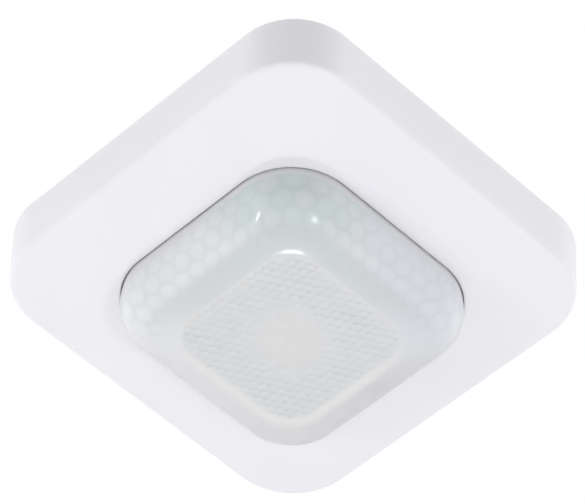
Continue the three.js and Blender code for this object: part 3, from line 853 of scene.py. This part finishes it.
moulded_plastic("power_plastic", (0.60, 0.61, 0.62), (0.66, 0.67, 0.68), 0.48, depth=0.00002)
moulded_plastic("module_plastic", (0.76, 0.76, 0.77), (0.80, 0.80, 0.81), 0.5, depth=0.00002)
moulded_plastic("black_plastic", (0.012, 0.012, 0.014), (0.03, 0.03, 0.034), 0.5, depth=0.00002)
moulded_plastic("blue_plastic", (0.03, 0.11, 0.32), (0.05, 0.16, 0.42), 0.38)
moulded_plastic("orange_plastic", (0.72, 0.16, 0.02), (0.82, 0.22, 0.04), 0.42)
moulded_plastic("grey_plastic", (0.13, 0.145, 0.16), (0.19, 0.205, 0.22), 0.45)
moulded_plastic("white_plastic", (0.80, 0.80, 0.77), (0.86, 0.86, 0.84), 0.45)
solder_mask("circuit_board", (0.008, 0.085, 0.035), (0.02, 0.16, 0.07))
solder_mask("covered_track", (0.02, 0.18, 0.07), (0.04, 0.25, 0.10))
metal("steel", (0.52, 0.53, 0.55), (0.66, 0.67, 0.69), 0.3, 0.00025, (1, 1, 6))
metal("nickel_can", (0.64, 0.63, 0.60), (0.78, 0.77, 0.74), 0.18, 0.00015)
metal("copper_strip", (0.62, 0.36, 0.16), (0.76, 0.48, 0.24), 0.28, 0.0002, (1, 5, 1))
metal("solder", (0.55, 0.56, 0.57), (0.70, 0.71, 0.72), 0.25, 0.0004)
wound_tape("yellow_film")
clear_plastic("infrared_filter", (0.05, 0.022, 0.05), 0.0, 0.06)
clear_plastic("clear_plastic", (0.88, 0.93, 0.95), 0.85)

# ---- Mounting plate and screws ----

PLATE_CORNER = 16.0
PLATE_UNDERSIDE = -2.0
DISH_RADIUS, DISH_DEPTH = 34.0, 0.4
SLOT_SIZE = (4.2, 8.0)
KNOCK_OUT = (18, 9)
GROOVE_WIDTH = 0.6
THREAD_FLANK, THREAD_FLAT = 1.6, 0.3   # steepness of the ridge, and what is clipped off it
POINT_WIDTH = 0.35                     # a thread's width at its tip, as a share of the rest


def knock_out(place):
    """A thin groove round a panel that can be broken out for a surface cable."""
    groove = block(KNOCK_OUT, (-0.5, 1.0), 0.1, place, 1.5)
    island = block([side - 2 * GROOVE_WIDTH for side in KNOCK_OUT], (-1.0, 2.0), 0.1, place, 1.2)
    return cut(groove, island)


def make_mounting_plate():
    low, high = measure("mounting_plate")
    half, radius, under = high.x, PLATE_CORNER, PLATE_UNDERSIDE
    plate = loft([
        (half - 0.4, radius - 0.4, under), (half, radius, under + 0.4), (half, radius, -0.4),
        (half - 0.1, radius - 0.1, -0.12), (half - 0.4, radius - 0.4, 0.0),
    ], corner_steps=20, side_steps=4)
    dish = turned([
        (0, -DISH_DEPTH), (DISH_RADIUS - 0.4, -DISH_DEPTH), (DISH_RADIUS + 0.6, 0.6), (0, 0.6)], steps=96)
    panels = [knock_out((0, side * (half - 8))) for side in (-1, 1)]
    dimples = [pin(2.0, (-0.15, 1), (x, y), 24) for x in (-49, 49) for y in (-36, -24, 24, 36)]
    cut(plate, dish, *panels, *dimples)
    screws = [middle(f"box_screw_{number}") for number in (1, 2)]
    slots = [block(SLOT_SIZE, (-5, 5), 0.2, place, 2.05) for place in screws]
    cut(plate, block((22, 12), (-5, 5), radius=1.0), *slots)
    sink_size = [side + 1.6 for side in SLOT_SIZE]
    cut(plate, *[block(sink_size, (-0.8, 3.0), 0.3, place, 2.8) for place in screws])
    arms = []
    for quarter in range(4):
        arm = block((1.4, 12), (low.z, under + 0.6), 0.35, (half - 0.9, 0), 0.6)
        notch = block((4, 6), (-6.4, -4.2), 0.3, (half - 0.9, 0), 0.8)
        arms.append(moved(cut(arm, notch), turn_z(quarter)))
    stand_for(join(plate, *arms), "mounting_plate")


def thread(root, crest, low, high, pitch, place, steps=24, per_turn=8):
    """A screw thread between two levels, pointed at its upper end."""
    angles = np.arange(steps) * 2 * math.pi / steps
    rings = []
    for level in np.arange(low, high + 1e-6, pitch / per_turn):
        phase = np.mod(level / pitch - angles / (2 * math.pi), 1)
        ridge = np.clip(THREAD_FLANK * (1 - np.abs(2 * phase - 1)) - THREAD_FLAT, 0, 1)
        radius = root + (crest - root) * ridge
        taper = min(1.0, POINT_WIDTH + (1 - POINT_WIDTH) * (high - level) / (1.5 * crest))
        fade = min(1.0, (level - low) / pitch)
        radius = (root + (radius - root) * fade) * taper
        rings.append(at_level(np.column_stack([radius * np.cos(angles), radius * np.sin(angles)]), level))
    return moved(stacked(rings), shift(*place, 0))


def cross_recess(place, low, depth, reach):
    """Two crossed bars and a tapered hub, to cut a cross drive that opens downwards."""
    bars = []
    for quarter in (0, 1):
        bar = block((2 * reach, 0.24 * reach), (low - 1, low + depth), 0.05, radius=0.08)
        bars.append(moved(bar, turn_z(quarter)))
    tip = low + 1.3 * depth
    hub = turned([(0, low - 1), (0.42 * reach, low - 1), (0.24 * reach, tip), (0, tip)], steps=20)
    return moved(join(join(*bars), hub), shift(*place, 0))


def make_screw(node, head, shank, under_head, pitch):
    low, high = measure(node)
    place = middle(node)
    neck = under_head + 0.8
    body = turned([
        (0, low.z), (0.55 * head, low.z), (0.86 * head, low.z + 0.35), (head, low.z + 0.9),
        (head, under_head), (shank, under_head), (shank, neck), (0, neck),
    ], place, reach=0.12)
    cut(body, cross_recess(place, low.z, 0.75 * (under_head - low.z), 0.55 * head))
    ridges = thread(0.76 * shank, shank, under_head + 0.1, high.z, pitch, place)
    stand_for(merged([body, ridges]), node)


make_mounting_plate()
for number in (1, 2):
    make_screw(f"box_screw_{number}", 3.4, 1.5, -2.3, 0.7)
    make_screw(f"board_screw_{number}", 2.8, 1.2, -8.9, 0.6)

# ---- Power unit ----

CASE_RADIUS = 24.5
CASE_WALL = 1.6
CASE_FLANGE = 27.0
CASE_LOW, CASE_FLANGE_TOP, CASE_CEILING, CASE_TOP = -0.1, 1.4, 36.4, 38.0
GRIPS = 12
TERMINAL_WINDOW = (26.6, 11.6)
TERMINAL_SHELF = 26.0                  # level above which the terminal block is full width
CLAMP_ROOM_TOP = 34.0
POLES, POLE_PITCH = 4, 6.4


def make_power_case():
    bore = CASE_RADIUS - CASE_WALL
    waist = CASE_RADIUS - 0.35
    case = turned([
        (0, CASE_CEILING), (bore, CASE_CEILING), (bore, CASE_LOW), (CASE_FLANGE, CASE_LOW),
        (CASE_FLANGE, CASE_FLANGE_TOP), (CASE_RADIUS, CASE_FLANGE_TOP),
        (CASE_RADIUS, 7.0), (waist, 7.4), (waist, 9.4), (CASE_RADIUS, 9.8),
        (CASE_RADIUS, 30.0), (waist, 30.4), (waist, 31.4), (CASE_RADIUS, 31.8),
        (CASE_RADIUS, CASE_TOP), (0, CASE_TOP),
    ], steps=120, reach=0.3)
    place = middle("terminal_block")
    through = (CASE_CEILING - 1, CASE_TOP + 1)
    cut(case, block(TERMINAL_WINDOW, through, 0.1, place, 0.3))
    lip = block([side + 1 for side in TERMINAL_WINDOW], (CASE_TOP - 0.5, CASE_TOP + 1), 0.3, place, 0.8)
    grips = []
    for step in range(GRIPS):
        grip = block((1.2, 2.2), (12, 28), 0.3, radius=0.5)
        grips.append(moved(grip, shift(CASE_RADIUS + 0.2, 0, 0), spin((step + 0.5) * 2 * math.pi / GRIPS)))
    vents = [block((1.4, 9), through, 0.2, (x, 12), 0.65) for x in np.arange(-3, 4) * 3.2]
    cut(case, lip, *grips, *vents)
    cut(case, block((26, 3.0), (CASE_TOP - 0.3, CASE_TOP + 1), 0.15, (0, 1.5), 0.5))
    stand_for(case, "power_case")


def make_power_lid():
    low, high = measure("power_lid")
    lid = prism(circle(high.x, 96), low.z, high.z, 0.3)
    ring = cut(pin(19, (low.z - 1, low.z + 0.4), steps=64), pin(18, (low.z - 2, low.z + 2), steps=64))
    cut(lid, ring)
    cut(lid, block((16.6, 7.6), (low.z - 2, high.z + 1), 0.1))
    stand_for(lid, "power_lid")


def make_power_board():
    low, high = measure("power_board")
    stand_for(prism(circle(high.x, 80), low.z, high.z, 0.1), "power_board")
    places = [(x, y) for x in (-7, 0, 7) for y in (6, 11, 16)]
    places += [(-17, -7), (-12, -7), (-17, -1), (-12, -1)]
    places += [(2.5, -2), (5.5, -2), (-4, -12), (6, -12), (11.5, -5), (16.5, -5)]
    profile = [(0, low.z - 1.0), (0.25, low.z - 0.9), (0.4, low.z - 0.4), (1.0, low.z), (0, low.z)]
    joints = [turned(profile, place, 16) for place in places]
    extra(joints, "power_board_solder", "ceiling_mount", "steel", "solder")


def tapered(first, second, levels):
    """A short block that goes from one size to another."""
    rings = [at_level(rectangle(*size, 0.3)(), level) for size, level in zip((first, second), levels)]
    return stacked(rings)


def make_power_socket():
    socket = block_like("power_socket", 0.3, 0.8)
    low, _ = measure("power_socket")
    cut(socket, block((13.2, 4.4), (low.z - 1, 4.4), 0.1))
    cut(socket, tapered((14.2, 5.4), (13.2, 4.4), (low.z - 0.1, low.z + 0.9)))
    stand_for(socket, "power_socket")
    contacts = [block((0.9, 2.6), (-0.6, 4.6), 0.1, (x, 0), 0.2) for x in (-6.2, 6.2)]
    extra(contacts, "socket_contacts", "ceiling_mount", "copper_strip")


def make_relay():
    relay = block_like("relay", 0.35, 0.8)
    low, high = measure("relay")
    x, y = middle("relay")
    recess = block((15, 11), (high.z - 0.25, high.z + 1), 0.1, (x, y), 1.0)
    vent = pin(0.8, (high.z - 0.6, high.z + 1), (x + 8.2, y + 6.4), 20)
    seam = cut(block((21, 17), (low.z + 2.0, low.z + 2.3), 0.05, (x, y)),
               block((18.6, 15.0), (low.z + 1, low.z + 3), 0.1, (x, y), 0.7))
    stand_for(cut(relay, recess, vent, seam), "relay")


def make_transformer():
    low, high = measure("transformer")
    place = middle("transformer")
    cheeks = [block((9.6, 11.2), levels, 0.3, place, 0.8)
              for levels in ((low.z, low.z + 2.4), (high.z - 2.4, high.z))]
    core = block((4.4, 11.0), (low.z + 2.2, high.z - 2.2), 0.2, place, 0.6)
    winding = prism(rectangle(8.2, 9.6, 2.0, 6), low.z + 2.5, high.z - 2.5, 0.5, place)
    stand_for(winding, "transformer")
    extra([*cheeks, core], "transformer_cheeks", "ceiling_mount", "black_plastic")


def make_capacitors():
    low, high = measure("bulk_capacitor")
    radius = (high.x - low.x) / 2
    place = middle("bulk_capacitor")
    can = turned([
        (0, low.z), (radius - 0.3, low.z), (radius, low.z + 0.4), (radius, low.z + 1.2),
        (radius - 0.45, low.z + 1.7), (radius, low.z + 2.2), (radius, high.z - 0.5),
        (radius - 0.5, high.z), (radius - 1.0, high.z - 0.1), (0, high.z - 0.1),
    ], place, reach=0.15)
    score = [block(size, (high.z - 0.3, high.z + 1), 0.05, place, 0.1) for size in ((5, 0.3), (0.3, 5))]
    stand_for(cut(can, join(*score)), "bulk_capacitor")
    stand_for(block_like("filter_capacitor", 0.5, 0.9), "filter_capacitor")
    low, high = measure("varistor")
    radius = (high.z - low.z) / 2
    disc = turned([
        (0, -2.0), (radius - 1.1, -2.0), (radius, -0.9), (radius, 0.9), (radius - 1.1, 2.0), (0, 2.0),
    ], reach=0.5)
    moved(disc, Matrix.Rotation(math.pi / 2, 4, "X"), shift(*middle("varistor"), (low.z + high.z) / 2))
    stand_for(disc, "varistor")


def make_terminals():
    low, high = measure("terminal_block")
    place = middle("terminal_block")
    size = (high.x - low.x, high.y - low.y)
    body = block(size, (TERMINAL_SHELF, high.z), 0.3, place, 0.5)
    legs = [block((1.5, 7.7), (low.z, TERMINAL_SHELF + 1), 0.15, (side * (high.x - 0.75), -13.85), 0.3)
            for side in (-1, 1)]
    join(body, *legs)
    rooms, mouths = [], []
    mouth_low = CLAMP_ROOM_TOP - 0.5
    for number in range(1, POLES + 1):
        pole, _ = middle(f"terminal_clamp_{number}")
        rooms.append(block((5, 8.6), (TERMINAL_SHELF - 1, CLAMP_ROOM_TOP), 0.1, (pole, -12.5), 0.3))
        mouths.append(turned([
            (0, mouth_low), (1.5, mouth_low), (1.5, high.z - 0.9), (2.3, high.z + 0.1), (0, high.z + 0.1),
        ], (pole, -15.0), 32))
        button = middle(f"release_button_{number}")
        mouths.append(block((3.6, 3.4), (mouth_low, high.z + 1), 0.1, button, 0.3))
    grooves = [block((0.5, 12), (high.z - 0.5, high.z + 1), 0.1, (gap * POLE_PITCH, place[1]), 0.2)
               for gap in np.arange(1, POLES) - POLES / 2]
    for tools in (rooms, mouths, grooves):
        cut(body, *tools)
    stand_for(body, "terminal_block")
    for number in range(1, POLES + 1):
        make_clamp(f"terminal_clamp_{number}")
        make_release(f"release_button_{number}")


def make_clamp(node):
    """A folded strip with a sprung tongue that bites on the wire."""
    low, high = measure(node)
    reach = (high.y - low.y) / 2 - 0.4
    base, top = low.z + 0.4, high.z
    fold = soften([(-reach, top), (-reach, base), (reach, base), (reach, top)], [0, 1.0, 1.0, 0], 5)
    bend = soften([
        (reach - 0.7, base + 0.7), (reach - 0.9, top - 0.6), (0, top - 0.3), (-reach + 1.4, base + 1.4),
    ], [0, 0.8, 0.9, 0], 5)
    width = high.x - low.x
    clamp = merged([along(fold, width, 0.8), along(bend, width - 0.8, 0.3)])
    stand_for(moved(clamp, turn_z(1), shift(*middle(node), 0)), node)


def make_release(node):
    _, high = measure(node)
    slot = block((1.9, 0.6), (high.z - 0.7, high.z + 1), 0.1, middle(node), 0.15)
    stand_for(cut(block_like(node, 0.25, 0.5), slot), node)


make_power_case()
make_power_lid()
make_power_board()
make_power_socket()
make_relay()
make_transformer()
make_capacitors()
make_terminals()

# ---- Sensor head: tray, board and front plate ----

TRAY_HALF, TRAY_RADIUS, TRAY_WALL = 55.0, 15.0, 1.6
TRAY_FLOOR, TRAY_TOP, TRAY_RIM = -4.0, -2.4, -14.2
POST_PLACE = 40.0
TRACKS, TRACK_PITCH, TRACK_END = 44, 0.9, 46
PART_PITCH = (4.2, 7.4)
FRONT_THICKNESS, COLLAR = 1.5, 1.2
FRONT_OPENING = (35.3, 16.1)           # half side and corner radius
DIAL_TICKS, TICK_STEP, TICK_START = 11, 27, -135


def make_module_base():
    half, radius = TRAY_HALF, TRAY_RADIUS
    inner, inner_radius = half - TRAY_WALL, radius - TRAY_WALL
    tray = loft([
        (inner, inner_radius, TRAY_FLOOR), (inner, inner_radius, TRAY_RIM),
        (half - 0.2, radius - 0.2, TRAY_RIM), (half, radius, TRAY_RIM + 0.2), (half, radius, TRAY_TOP - 0.6),
        (half - 0.2, radius - 0.2, TRAY_TOP - 0.2), (half - 0.6, radius - 0.6, TRAY_TOP),
    ], corner_steps=18, side_steps=4)
    posts = []
    for side_x, side_y in ((1, 1), (-1, 1), (-1, -1), (1, -1)):
        place = (side_x * POST_PLACE, side_y * POST_PLACE)
        post = turned([(0, -6.7), (2.8, -6.7), (3.0, -6.5), (3.0, -3.4), (0, -3.4)], place, 32)
        if side_x == side_y:
            cut(post, pin(1.5, (-7.5, -4.3), place, 24))
        else:
            join(post, turned([(0, -10), (0.9, -10), (1.2, -9.6), (1.2, -6), (0, -6)], place, 24))
        posts.append(post)
    join(tray, *posts)
    plug_way = block((18, 9), (-8, 0), radius=1.0)
    screw_ways = [pin(5.4, (-6, 0), middle(f"box_screw_{number}")) for number in (1, 2)]
    marks = [pin(2.4, (TRAY_TOP - 0.12, 0), (x, y), 24) for x in (-44, 44) for y in (-18, 18)]
    webs = [block((24, 1.6), (TRAY_TOP - 0.5, 0), 0.2, (x, y), 0.7)
            for x in (-30, 0, 30) for y in (-46, -42, 42, 46)]
    stand_for(cut(tray, plug_way, *screw_ways, *marks, *webs), "module_base")


def track(path, width, levels):
    """A flat track along points in x and y, mitred at its corners."""
    path = np.array(path, float)
    low, high = levels
    heading = np.diff(path, axis=0)
    heading /= np.linalg.norm(heading, axis=1, keepdims=True)
    before = np.vstack([heading[:1], heading])
    after = np.vstack([heading, heading[-1:]])
    normal = np.column_stack([-(before + after)[:, 1], (before + after)[:, 0]])
    normal /= np.linalg.norm(normal, axis=1, keepdims=True)
    square = np.column_stack([-before[:, 1], before[:, 0]])
    stretch = 1 / np.maximum(np.sum(normal * square, axis=1), 0.5)
    side = normal * (stretch * width / 2)[:, None]
    rings = []
    for point, offset in zip(path, side):
        a, b = point + offset, point - offset
        rings += [(*a, low), (*b, low), (*b, high), (*a, high)]
    return mesh_object(rings, loft_faces(len(path), 4, closed=False))


def make_tracks(draw, low):
    """Lanes beside the carrier, each with one 45 degree step and a turn sideways."""
    tracks = []
    for index in range(TRACKS):
        lane = 25.5 + TRACK_PITCH * (index // 4)
        reach = draw.uniform(6, 18)
        step = draw.uniform(2, 6)
        end = 24 + draw.uniform(10, 20)
        path = [(lane, -reach), (lane, reach - step), (lane + step, reach), (min(end, TRACK_END), reach)]
        tracks.append(moved(track(path, 0.35, (low - 0.07, low - 0.005)), turn_z(index % 4)))
    extra(tracks, "board_tracks", "sensor_head", "circuit_board", "covered_track")


def make_parts(draw, low):
    """Small components with a soldered cap at each end."""
    parts, caps = [], []
    for quarter in range(4):
        for row in range(5):
            for column in range(3):
                x = 36 + PART_PITCH[0] * column
                y = -16 + PART_PITCH[1] * row + draw.uniform(-0.6, 0.6)
                if abs(y) < 6 and column == 0 and quarter == 0:
                    continue
                part = block((1.6, 0.8), (low - 0.75, low - 0.1), 0.06, (x, y), 0.1)
                parts.append(moved(part, turn_z(quarter)))
                for side in (-1, 1):
                    cap = block((0.35, 0.86), (low - 0.78, low - 0.05), 0.05, (x + side * 0.72, y), 0.08)
                    caps.append(moved(cap, turn_z(quarter)))
    extra(parts, "board_chips", "sensor_head", "black_plastic")
    extra(caps, "board_chip_ends", "sensor_head", "steel", "solder")


def make_sensor_board():
    low, high = measure("sensor_board")
    half = high.x
    board = loft([
        (half - 0.1, 9.9, low.z), (half, 10, low.z + 0.1),
        (half, 10, high.z - 0.1), (half - 0.1, 9.9, high.z),
    ], corner_steps=14, side_steps=4)
    sides = (-POST_PLACE, POST_PLACE)
    cut(board, *[pin(1.8, (-12, -4), (x, y), 32) for x in sides for y in sides])
    stand_for(board, "sensor_board")
    draw = random.Random(7)
    make_tracks(draw, low.z)
    make_parts(draw, low.z)


def make_board_plug():
    low, high = measure("board_plug")
    plug = block((high.x - low.x, high.y - low.y), (low.z, -2.0), 0.3, radius=0.6)
    join(plug, block((12.4, 3.6), (-3.0, high.z), 0.3, radius=0.5))
    sockets = [block((1.0, 1.6), (high.z - 2.5, high.z + 1), 0.1, (x, 0), 0.2) for x in np.linspace(-5, 5, 6)]
    stand_for(cut(plug, *sockets), "board_plug")


def make_module_front():
    low, high = measure("module_front")
    top, under = high.z, high.z - FRONT_THICKNESS
    half, radius = TRAY_HALF, TRAY_RADIUS
    inner, inner_radius = FRONT_OPENING
    outer, outer_radius = inner + COLLAR, inner_radius + COLLAR
    front = loft([
        (half - 0.3, radius - 0.3, under), (half, radius, under + 0.3), (half, radius, top),
        (inner, inner_radius, top), (inner, inner_radius, low.z + 0.3),
        (inner + 0.3, inner_radius + 0.3, low.z), (outer - 0.3, outer_radius - 0.3, low.z),
        (outer, outer_radius, low.z + 0.3), (outer, outer_radius, under),
    ], closed=True, corner_steps=24, side_steps=6)

    def way(place, wide, narrow, steps):
        """A tool for a round hole that widens at the underside."""
        return turned([
            (0, under - 1), (wide, under - 1), (narrow, under + 0.4), (narrow, top + 1), (0, top + 1),
        ], place, steps)

    dials = [middle(f"{use}_dial") for use in ("light", "time")]
    switch = middle("dip_housing")
    holes = [way(place, 6.1, 5.6, 64) for place in dials]
    holes.append(way(middle("program_button"), 3.5, 2.9, 40))
    holes.append(block((11.6, 8.2), (under - 1, top + 1), 0.1, switch))
    cut(front, *holes)
    raised = (under - 0.15, under + 0.3)
    ticks = []
    for place in dials:
        for step in range(DIAL_TICKS):
            angle = math.radians(TICK_START + TICK_STEP * step)
            length = 0.5 + 0.09 * step
            tick = block((0.35, length), raised, 0.05, (0, 7.0 + length / 2), 0.1)
            ticks.append(moved(tick, spin(angle + math.pi), shift(*place, 0)))
    for number in range(1, 5):
        x, _ = middle(f"dip_slider_{number}")
        ticks.append(block((0.4, 0.9), raised, 0.05, (x, switch[1] - 5.2), 0.1))
        ticks.append(block((0.9, 0.4), raised, 0.05, (x, switch[1] + 5.2), 0.1))
    stand_for(join(front, *ticks), "module_front")


make_module_base()
make_sensor_board()
make_board_plug()
make_module_front()

# ---- Sensor head: pyroelectric sensors ----

CARRIER_LOW, CARRIER_HIGH = measure("pyro_carrier")
APEX_HALF = CARRIER_HIGH.x - (CARRIER_HIGH.z - CARRIER_LOW.z)
SLOPE_MIDDLE = (APEX_HALF + CARRIER_HIGH.x) / 2
SLOPE_LEVEL = (CARRIER_LOW.z + CARRIER_HIGH.z) / 2


def onto_facet(facet):
    """Moves a shape from a flat face at the origin onto one of the carrier's 45 degree faces."""
    return (Matrix.Rotation(0.75 * math.pi, 4, "Y"), shift(SLOPE_MIDDLE, 0, SLOPE_LEVEL), turn_z(facet))


def make_carrier():
    base = CARRIER_HIGH.x
    body = loft([
        (APEX_HALF - 0.4, 1.0, CARRIER_LOW.z), (APEX_HALF + 0.1, 1.3, CARRIER_LOW.z + 0.25),
        (base - 0.1, 1.3, CARRIER_HIGH.z - 0.2), (base - 0.3, 1.2, CARRIER_HIGH.z),
    ], corner_steps=6, side_steps=2)
    rails = [moved(block((14, 1.2), (-0.5, 1.2), 0.25, (0, y)), *onto_facet(facet))
             for facet in range(4) for y in (-6.2, 6.2)]
    join(body, *rails)
    seat = [(0, -3.7), (4.9, -3.7), (4.9, -0.4), (5.3, 0.05), (5.6, 2), (0, 2)]
    cut(body, *[moved(turned(seat), *onto_facet(facet)) for facet in range(4)])
    cut(body, pin(2.6, (-24, -7), steps=40))
    stand_for(body, "pyro_carrier")


def make_pyro(facet):
    can = turned([
        (0, -3.5), (4.5, -3.5), (4.6, -3.4), (4.6, -3.05), (4.25, -3.0), (4.15, -2.8), (4.15, 0.4),
        (4.05, 0.6), (3.85, 0.7), (0, 0.7),
    ], steps=56)
    cut(can, block((4.0, 5.0), (-0.1, 2), 0.1, radius=0.5))
    stand_for(moved(can, *onto_facet(facet)), f"pyro_can_{facet + 1}")
    pane = block((3.4, 4.4), (0.15, 0.6), 0.08, radius=0.25)
    stand_for(moved(pane, *onto_facet(facet)), f"pyro_window_{facet + 1}")


def make_shutter(facet):
    """A folded sheet that rides over both rails, ribbed for grip."""
    start, end, half, top, sheet = -8.6, -2.6, 7.7, 2.2, 0.7
    centre = (start + end) / 2
    body = block((end - start, 2 * half), (top - sheet, top), 0.2, (centre, 0), 0.5)
    legs = [block((end - start, 0.6), (0.3, top - 0.2), 0.12, (centre, side * (half - 0.32)), 0.25)
            for side in (-1, 1)]
    join(body, *legs, block((0.8, 4), (top - 0.4, 4.2), 0.2, (-7.8, 0), 0.35))
    grooves = [block((0.3, 9), (top - 0.2, top + 0.5), 0.05, (x, 0), 0.12) for x in (-6.2, -5.4, -4.6, -3.8)]
    cut(body, *grooves)
    stand_for(moved(body, *onto_facet(facet)), f"range_shutter_{facet + 1}")


make_carrier()
for facet_number in range(4):
    make_pyro(facet_number)
    make_shutter(facet_number)

# ---- Sensor head: small parts and controls ----

KNOB_BASE = -14.2                      # level of the step between a knob or button and its foot
FLUTES = 24


def make_small_parts():
    low, high = measure("light_guide")
    radius = high.x
    guide = turned([
        (0, low.z), (0.6 * radius, low.z + 0.35), (0.9 * radius, low.z + 1.0), (radius, low.z + 2.0),
        (radius, -20.0), (radius - 0.15, -19.6), (radius - 0.15, high.z), (0, high.z),
    ], reach=0.3)
    stand_for(guide, "light_guide")
    stand_for(block_like("light_sensor", 0.12, 0.2), "light_sensor")
    low, high = measure("status_led")
    place = middle("status_led")
    lamp = block((3.2, 2.8), (low.z + 0.7, high.z), 0.1, place, 0.2)
    join(lamp, turned([
        (0, low.z), (0.6, low.z + 0.1), (1.1, low.z + 0.4), (1.25, low.z + 1.0), (0, low.z + 1.0),
    ], place, 32))
    stand_for(lamp, "status_led")
    low, high = measure("ir_receiver")
    radius = (high.x - low.x) / 2
    receiver = turned([
        (0, low.z), (0.3 * radius, low.z + 0.08), (0.65 * radius, low.z + 0.6),
        (0.92 * radius, low.z + 1.7), (radius, low.z + 2.6), (radius, high.z - 0.8), (radius, high.z),
        (0, high.z),
    ], middle("ir_receiver"), reach=0.2)
    stand_for(receiver, "ir_receiver")


def make_controller():
    """A flat package with legs on all four sides."""
    low, high = measure("controller_chip")
    x, y = middle("controller_chip")
    body = block((7, 7), (low.z, high.z - 0.15), 0.12, (x, y), 0.2)
    cut(body, pin(0.4, (low.z - 1, low.z + 0.1), (x - 2.6, y - 2.6), 20))
    stand_for(body, "controller_chip")
    path = [(3.4, low.z + 0.7), (3.75, low.z + 0.7), (4.0, high.z - 0.1), (4.5, high.z - 0.1)]
    legs = [moved(along(path, 0.35, 0.15), shift(0, -2.8 + 0.8 * step, 0), turn_z(quarter), shift(x, y, 0))
            for quarter in range(4) for step in range(8)]
    extra(legs, "controller_legs", "sensor_head", "steel", "solder")


def make_dial_set(use):
    body = block_like(f"{use}_trimmer", 0.25)
    low, _ = measure(f"{use}_trimmer")
    place = middle(f"{use}_trimmer")
    cut(body, pin(2.2, (low.z - 1, -10), place, 32))
    stand_for(body, f"{use}_trimmer")
    low, high = measure(f"{use}_dial")
    radius = (high.x - low.x) / 2
    knob = turned([
        (0, low.z), (radius - 0.5, low.z), (radius, low.z + 0.5), (radius, KNOB_BASE), (1.8, KNOB_BASE),
        (1.8, high.z), (0, high.z),
    ], place, 72, reach=0.15)
    slot = block((1.2, 7.2), (low.z - 1, low.z + 1.1), 0.1, place, 0.3)
    pointer = block((0.5, 0.9), (low.z - 1, low.z + 0.3), 0.05, (place[0], place[1] + 4.25), 0.15)
    flutes = []
    for step in range(FLUTES):
        flute = block((0.5, 0.5), (low.z - 1, -14.9), 0.05, radius=0.2)
        moved(flute, shift(radius + 0.08, 0, 0), spin(step * 2 * math.pi / FLUTES), shift(*place, 0))
        flutes.append(flute)
    stand_for(cut(knob, slot, pointer, *flutes), f"{use}_dial")


def make_switches():
    low, _ = measure("dip_housing")
    _, y = middle("dip_housing")
    sliders = [f"dip_slider_{number}" for number in range(1, 5)]
    ways = [block((1.8, 4.4), (low.z - 1, -14), 0.05, (middle(node)[0], y), 0.15) for node in sliders]
    stand_for(cut(block_like("dip_housing"), *ways), "dip_housing")
    for node in sliders:
        low, _ = measure(node)
        groove = block((2, 0.4), (low.z - 1, low.z + 0.35), 0.05, middle(node), 0.15)
        stand_for(cut(block_like(node, 0.15, 0.25), groove), node)


def make_button():
    stand_for(block_like("button_base"), "button_base")
    low, high = measure("program_button")
    button = turned([
        (0, low.z + 0.25), (1.4, low.z + 0.2), (2.1, low.z), (2.4, low.z + 0.1), (2.6, low.z + 0.4),
        (2.6, KNOB_BASE), (3.6, KNOB_BASE), (3.6, -13.2), (2.6, -13.2), (2.6, high.z), (0, high.z),
    ], middle("program_button"), reach=0.1)
    stand_for(button, "program_button")


make_small_parts()
make_controller()
for dial_use in ("light", "time"):
    make_dial_set(dial_use)
make_switches()
make_button()
